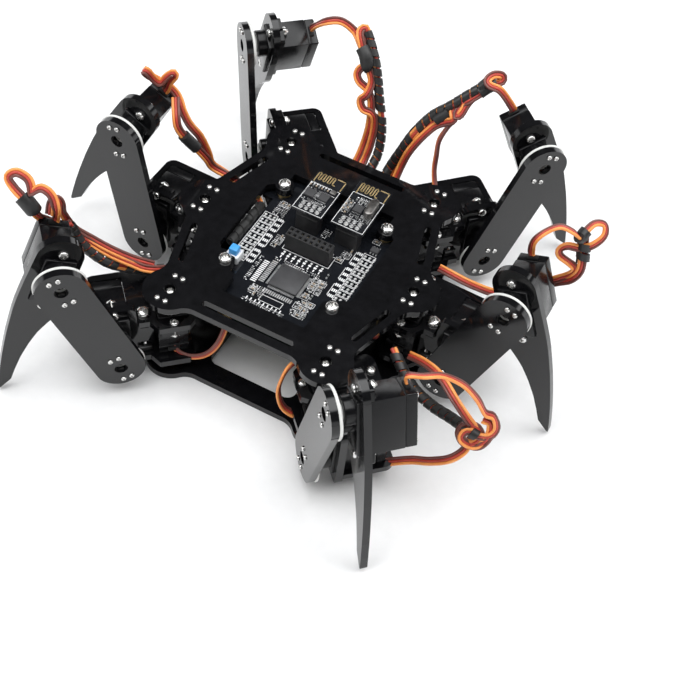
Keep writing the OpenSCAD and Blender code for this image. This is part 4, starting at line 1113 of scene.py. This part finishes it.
# Second module: radio chip, lying crystal can and small parts
radio.add(block((9.6, 20.2, TOP), (13.6, 24.2, TOP + 0.85), "chip", 0.12, 1))
for k in range(6):
    radio.add(tile(9.9 + k * 0.62, 10.15 + k * 0.62, 19.5, 20.1, TOP, 0.1, "solder"))
    radio.add(tile(9.9 + k * 0.62, 10.15 + k * 0.62, 24.3, 24.9, TOP, 0.1, "solder"))
for k in range(6):
    radio.add(tile(5.4, 6.0, 17.6 + k * 1.5, 18.5 + k * 1.5, TOP, 0.4, "cap" if k % 2 else "solder"))
    radio.add(tile(7.0, 7.7, 17.6 + k * 1.5, 18.3 + k * 1.5, TOP, 0.4, "solder" if k % 2 else "cap"))
    radio.add(tile(8.2 + k * 1.4, 8.9 + k * 1.4, 26.4, 27.3, TOP, 0.4, "solder"))
    radio.add(tile(8.2 + k * 1.4, 8.8 + k * 1.4, 28.2, 28.7, TOP, 0.04, "silk"))
can = [(14.7 + 2.0 + 1.9 * math.cos(a), y + s * 1.9 * abs(math.sin(a))) for y, s, angles in (
    (27.0, 1, range(0, 181, 20)), (20.8, -1, range(180, 361, 20))) for a in map(math.radians, angles)]
radio.add(prism(can, TOP + 0.1, TOP + 3.4, "tin", 0.45, 3))
stand_in("radio_modules_shown", radio, "body", ["radio_modules"])

# ---------------------------------------------------------------- power switch and its button

SX, SY = -23.7, -18.8
case = cut_out(block((-2.9, -2.9, 0), (2.9, 2.9, 4), "white", 0.5, 3),
               [block((-1.88, -1.88, 0.8), (1.88, 1.88, 9), "white", 0.2, 2)], "white")
for s in (-1, 1):
    for k in (-1, 0, 1):
        case.add(tile(s * 2.9 - 0.1, s * 2.9 + 0.1, k * 1.8 - 0.3, k * 1.8 + 0.3, 0, 1.2, "solder"))
stand_in("power_switch_shown", case.placed(move(SX, SY, Z)), "body", ["power_switch"])
button = block((-1.8, -1.8, 2.5), (1.8, 1.8, 6.9), "blue", 0.3, 3)
for k in (-1, 0, 1):
    button.add(block((-1.3, k * 0.85 - 0.14, 6.85), (1.3, k * 0.85 + 0.14, 7.0), "blue", 0.06, 1))
stand_in("power_button_shown", button.placed(move(SX, SY, Z)), "power_button", ["power_button"])

# ---------------------------------------------------------------- floor and light

floor = piece("floor", Part([(-4000, -4000, FLOOR_Z), (4000, -4000, FLOOR_Z), (4000, 4000, FLOOR_Z),
                             (-4000, 4000, FLOOR_Z)],
                            [(0, 1, 2, 3)], ["floor"]))


def softbox(name, place, target, size, power):
    data = bpy.data.lights.new(name, "AREA")
    data.shape, data.size, data.energy = "SQUARE", size, power
    obj = bpy.data.objects.new(name, data)
    scene.collection.objects.link(obj)
    obj.location = place
    obj.rotation_euler = (Vector(target) - Vector(place)).to_track_quat("-Z", "Y").to_euler()


def studio_world():
    """White walls low down, a dark band above them and a bright ceiling."""
    world = bpy.data.worlds.new("studio")
    world.use_nodes = True
    tree = world.node_tree
    back = tree.nodes["Background"]
    where = tree.nodes.new("ShaderNodeTexCoord")
    split = tree.nodes.new("ShaderNodeSeparateXYZ")
    tree.links.new(where.outputs["Generated"], split.inputs["Vector"])

    def ramp(axis, start, end, low, high):
        n = tree.nodes.new("ShaderNodeMapRange")
        n.interpolation_type = "SMOOTHSTEP"
        for key, value in (("From Min", start), ("From Max", end), ("To Min", low), ("To Max", high)):
            n.inputs[key].default_value = value
        tree.links.new(split.outputs[axis], n.inputs["Value"])
        return n.outputs["Result"]

    def math_node(operation, a, b):
        n = tree.nodes.new("ShaderNodeMath")
        n.operation = operation
        tree.links.new(a, n.inputs[0])
        tree.links.new(b, n.inputs[1])
        return n.outputs["Value"]

    walls = math_node("MULTIPLY", ramp("Z", 0.22, 0.36, WALL_LIGHT, 0.0), ramp("Y", -0.8, 0.8, 0.75, 1.3))
    total = math_node("ADD", walls, ramp("Z", 0.8, 0.92, BAND_LIGHT, CEILING_LIGHT))
    tree.links.new(total, back.inputs["Strength"])
    back.inputs["Color"].default_value = (0.98, 0.99, 1.0, 1)
    return world


scene.world = studio_world()
scene.view_settings.view_transform = "Standard"
softbox("key", (-0.7, -0.9, 1.3), (0, 0, 0.03), 1.0, 10)
softbox("fill", (0.9, 0.5, 1.2), (0, 0, 0.03), 1.0, 8)
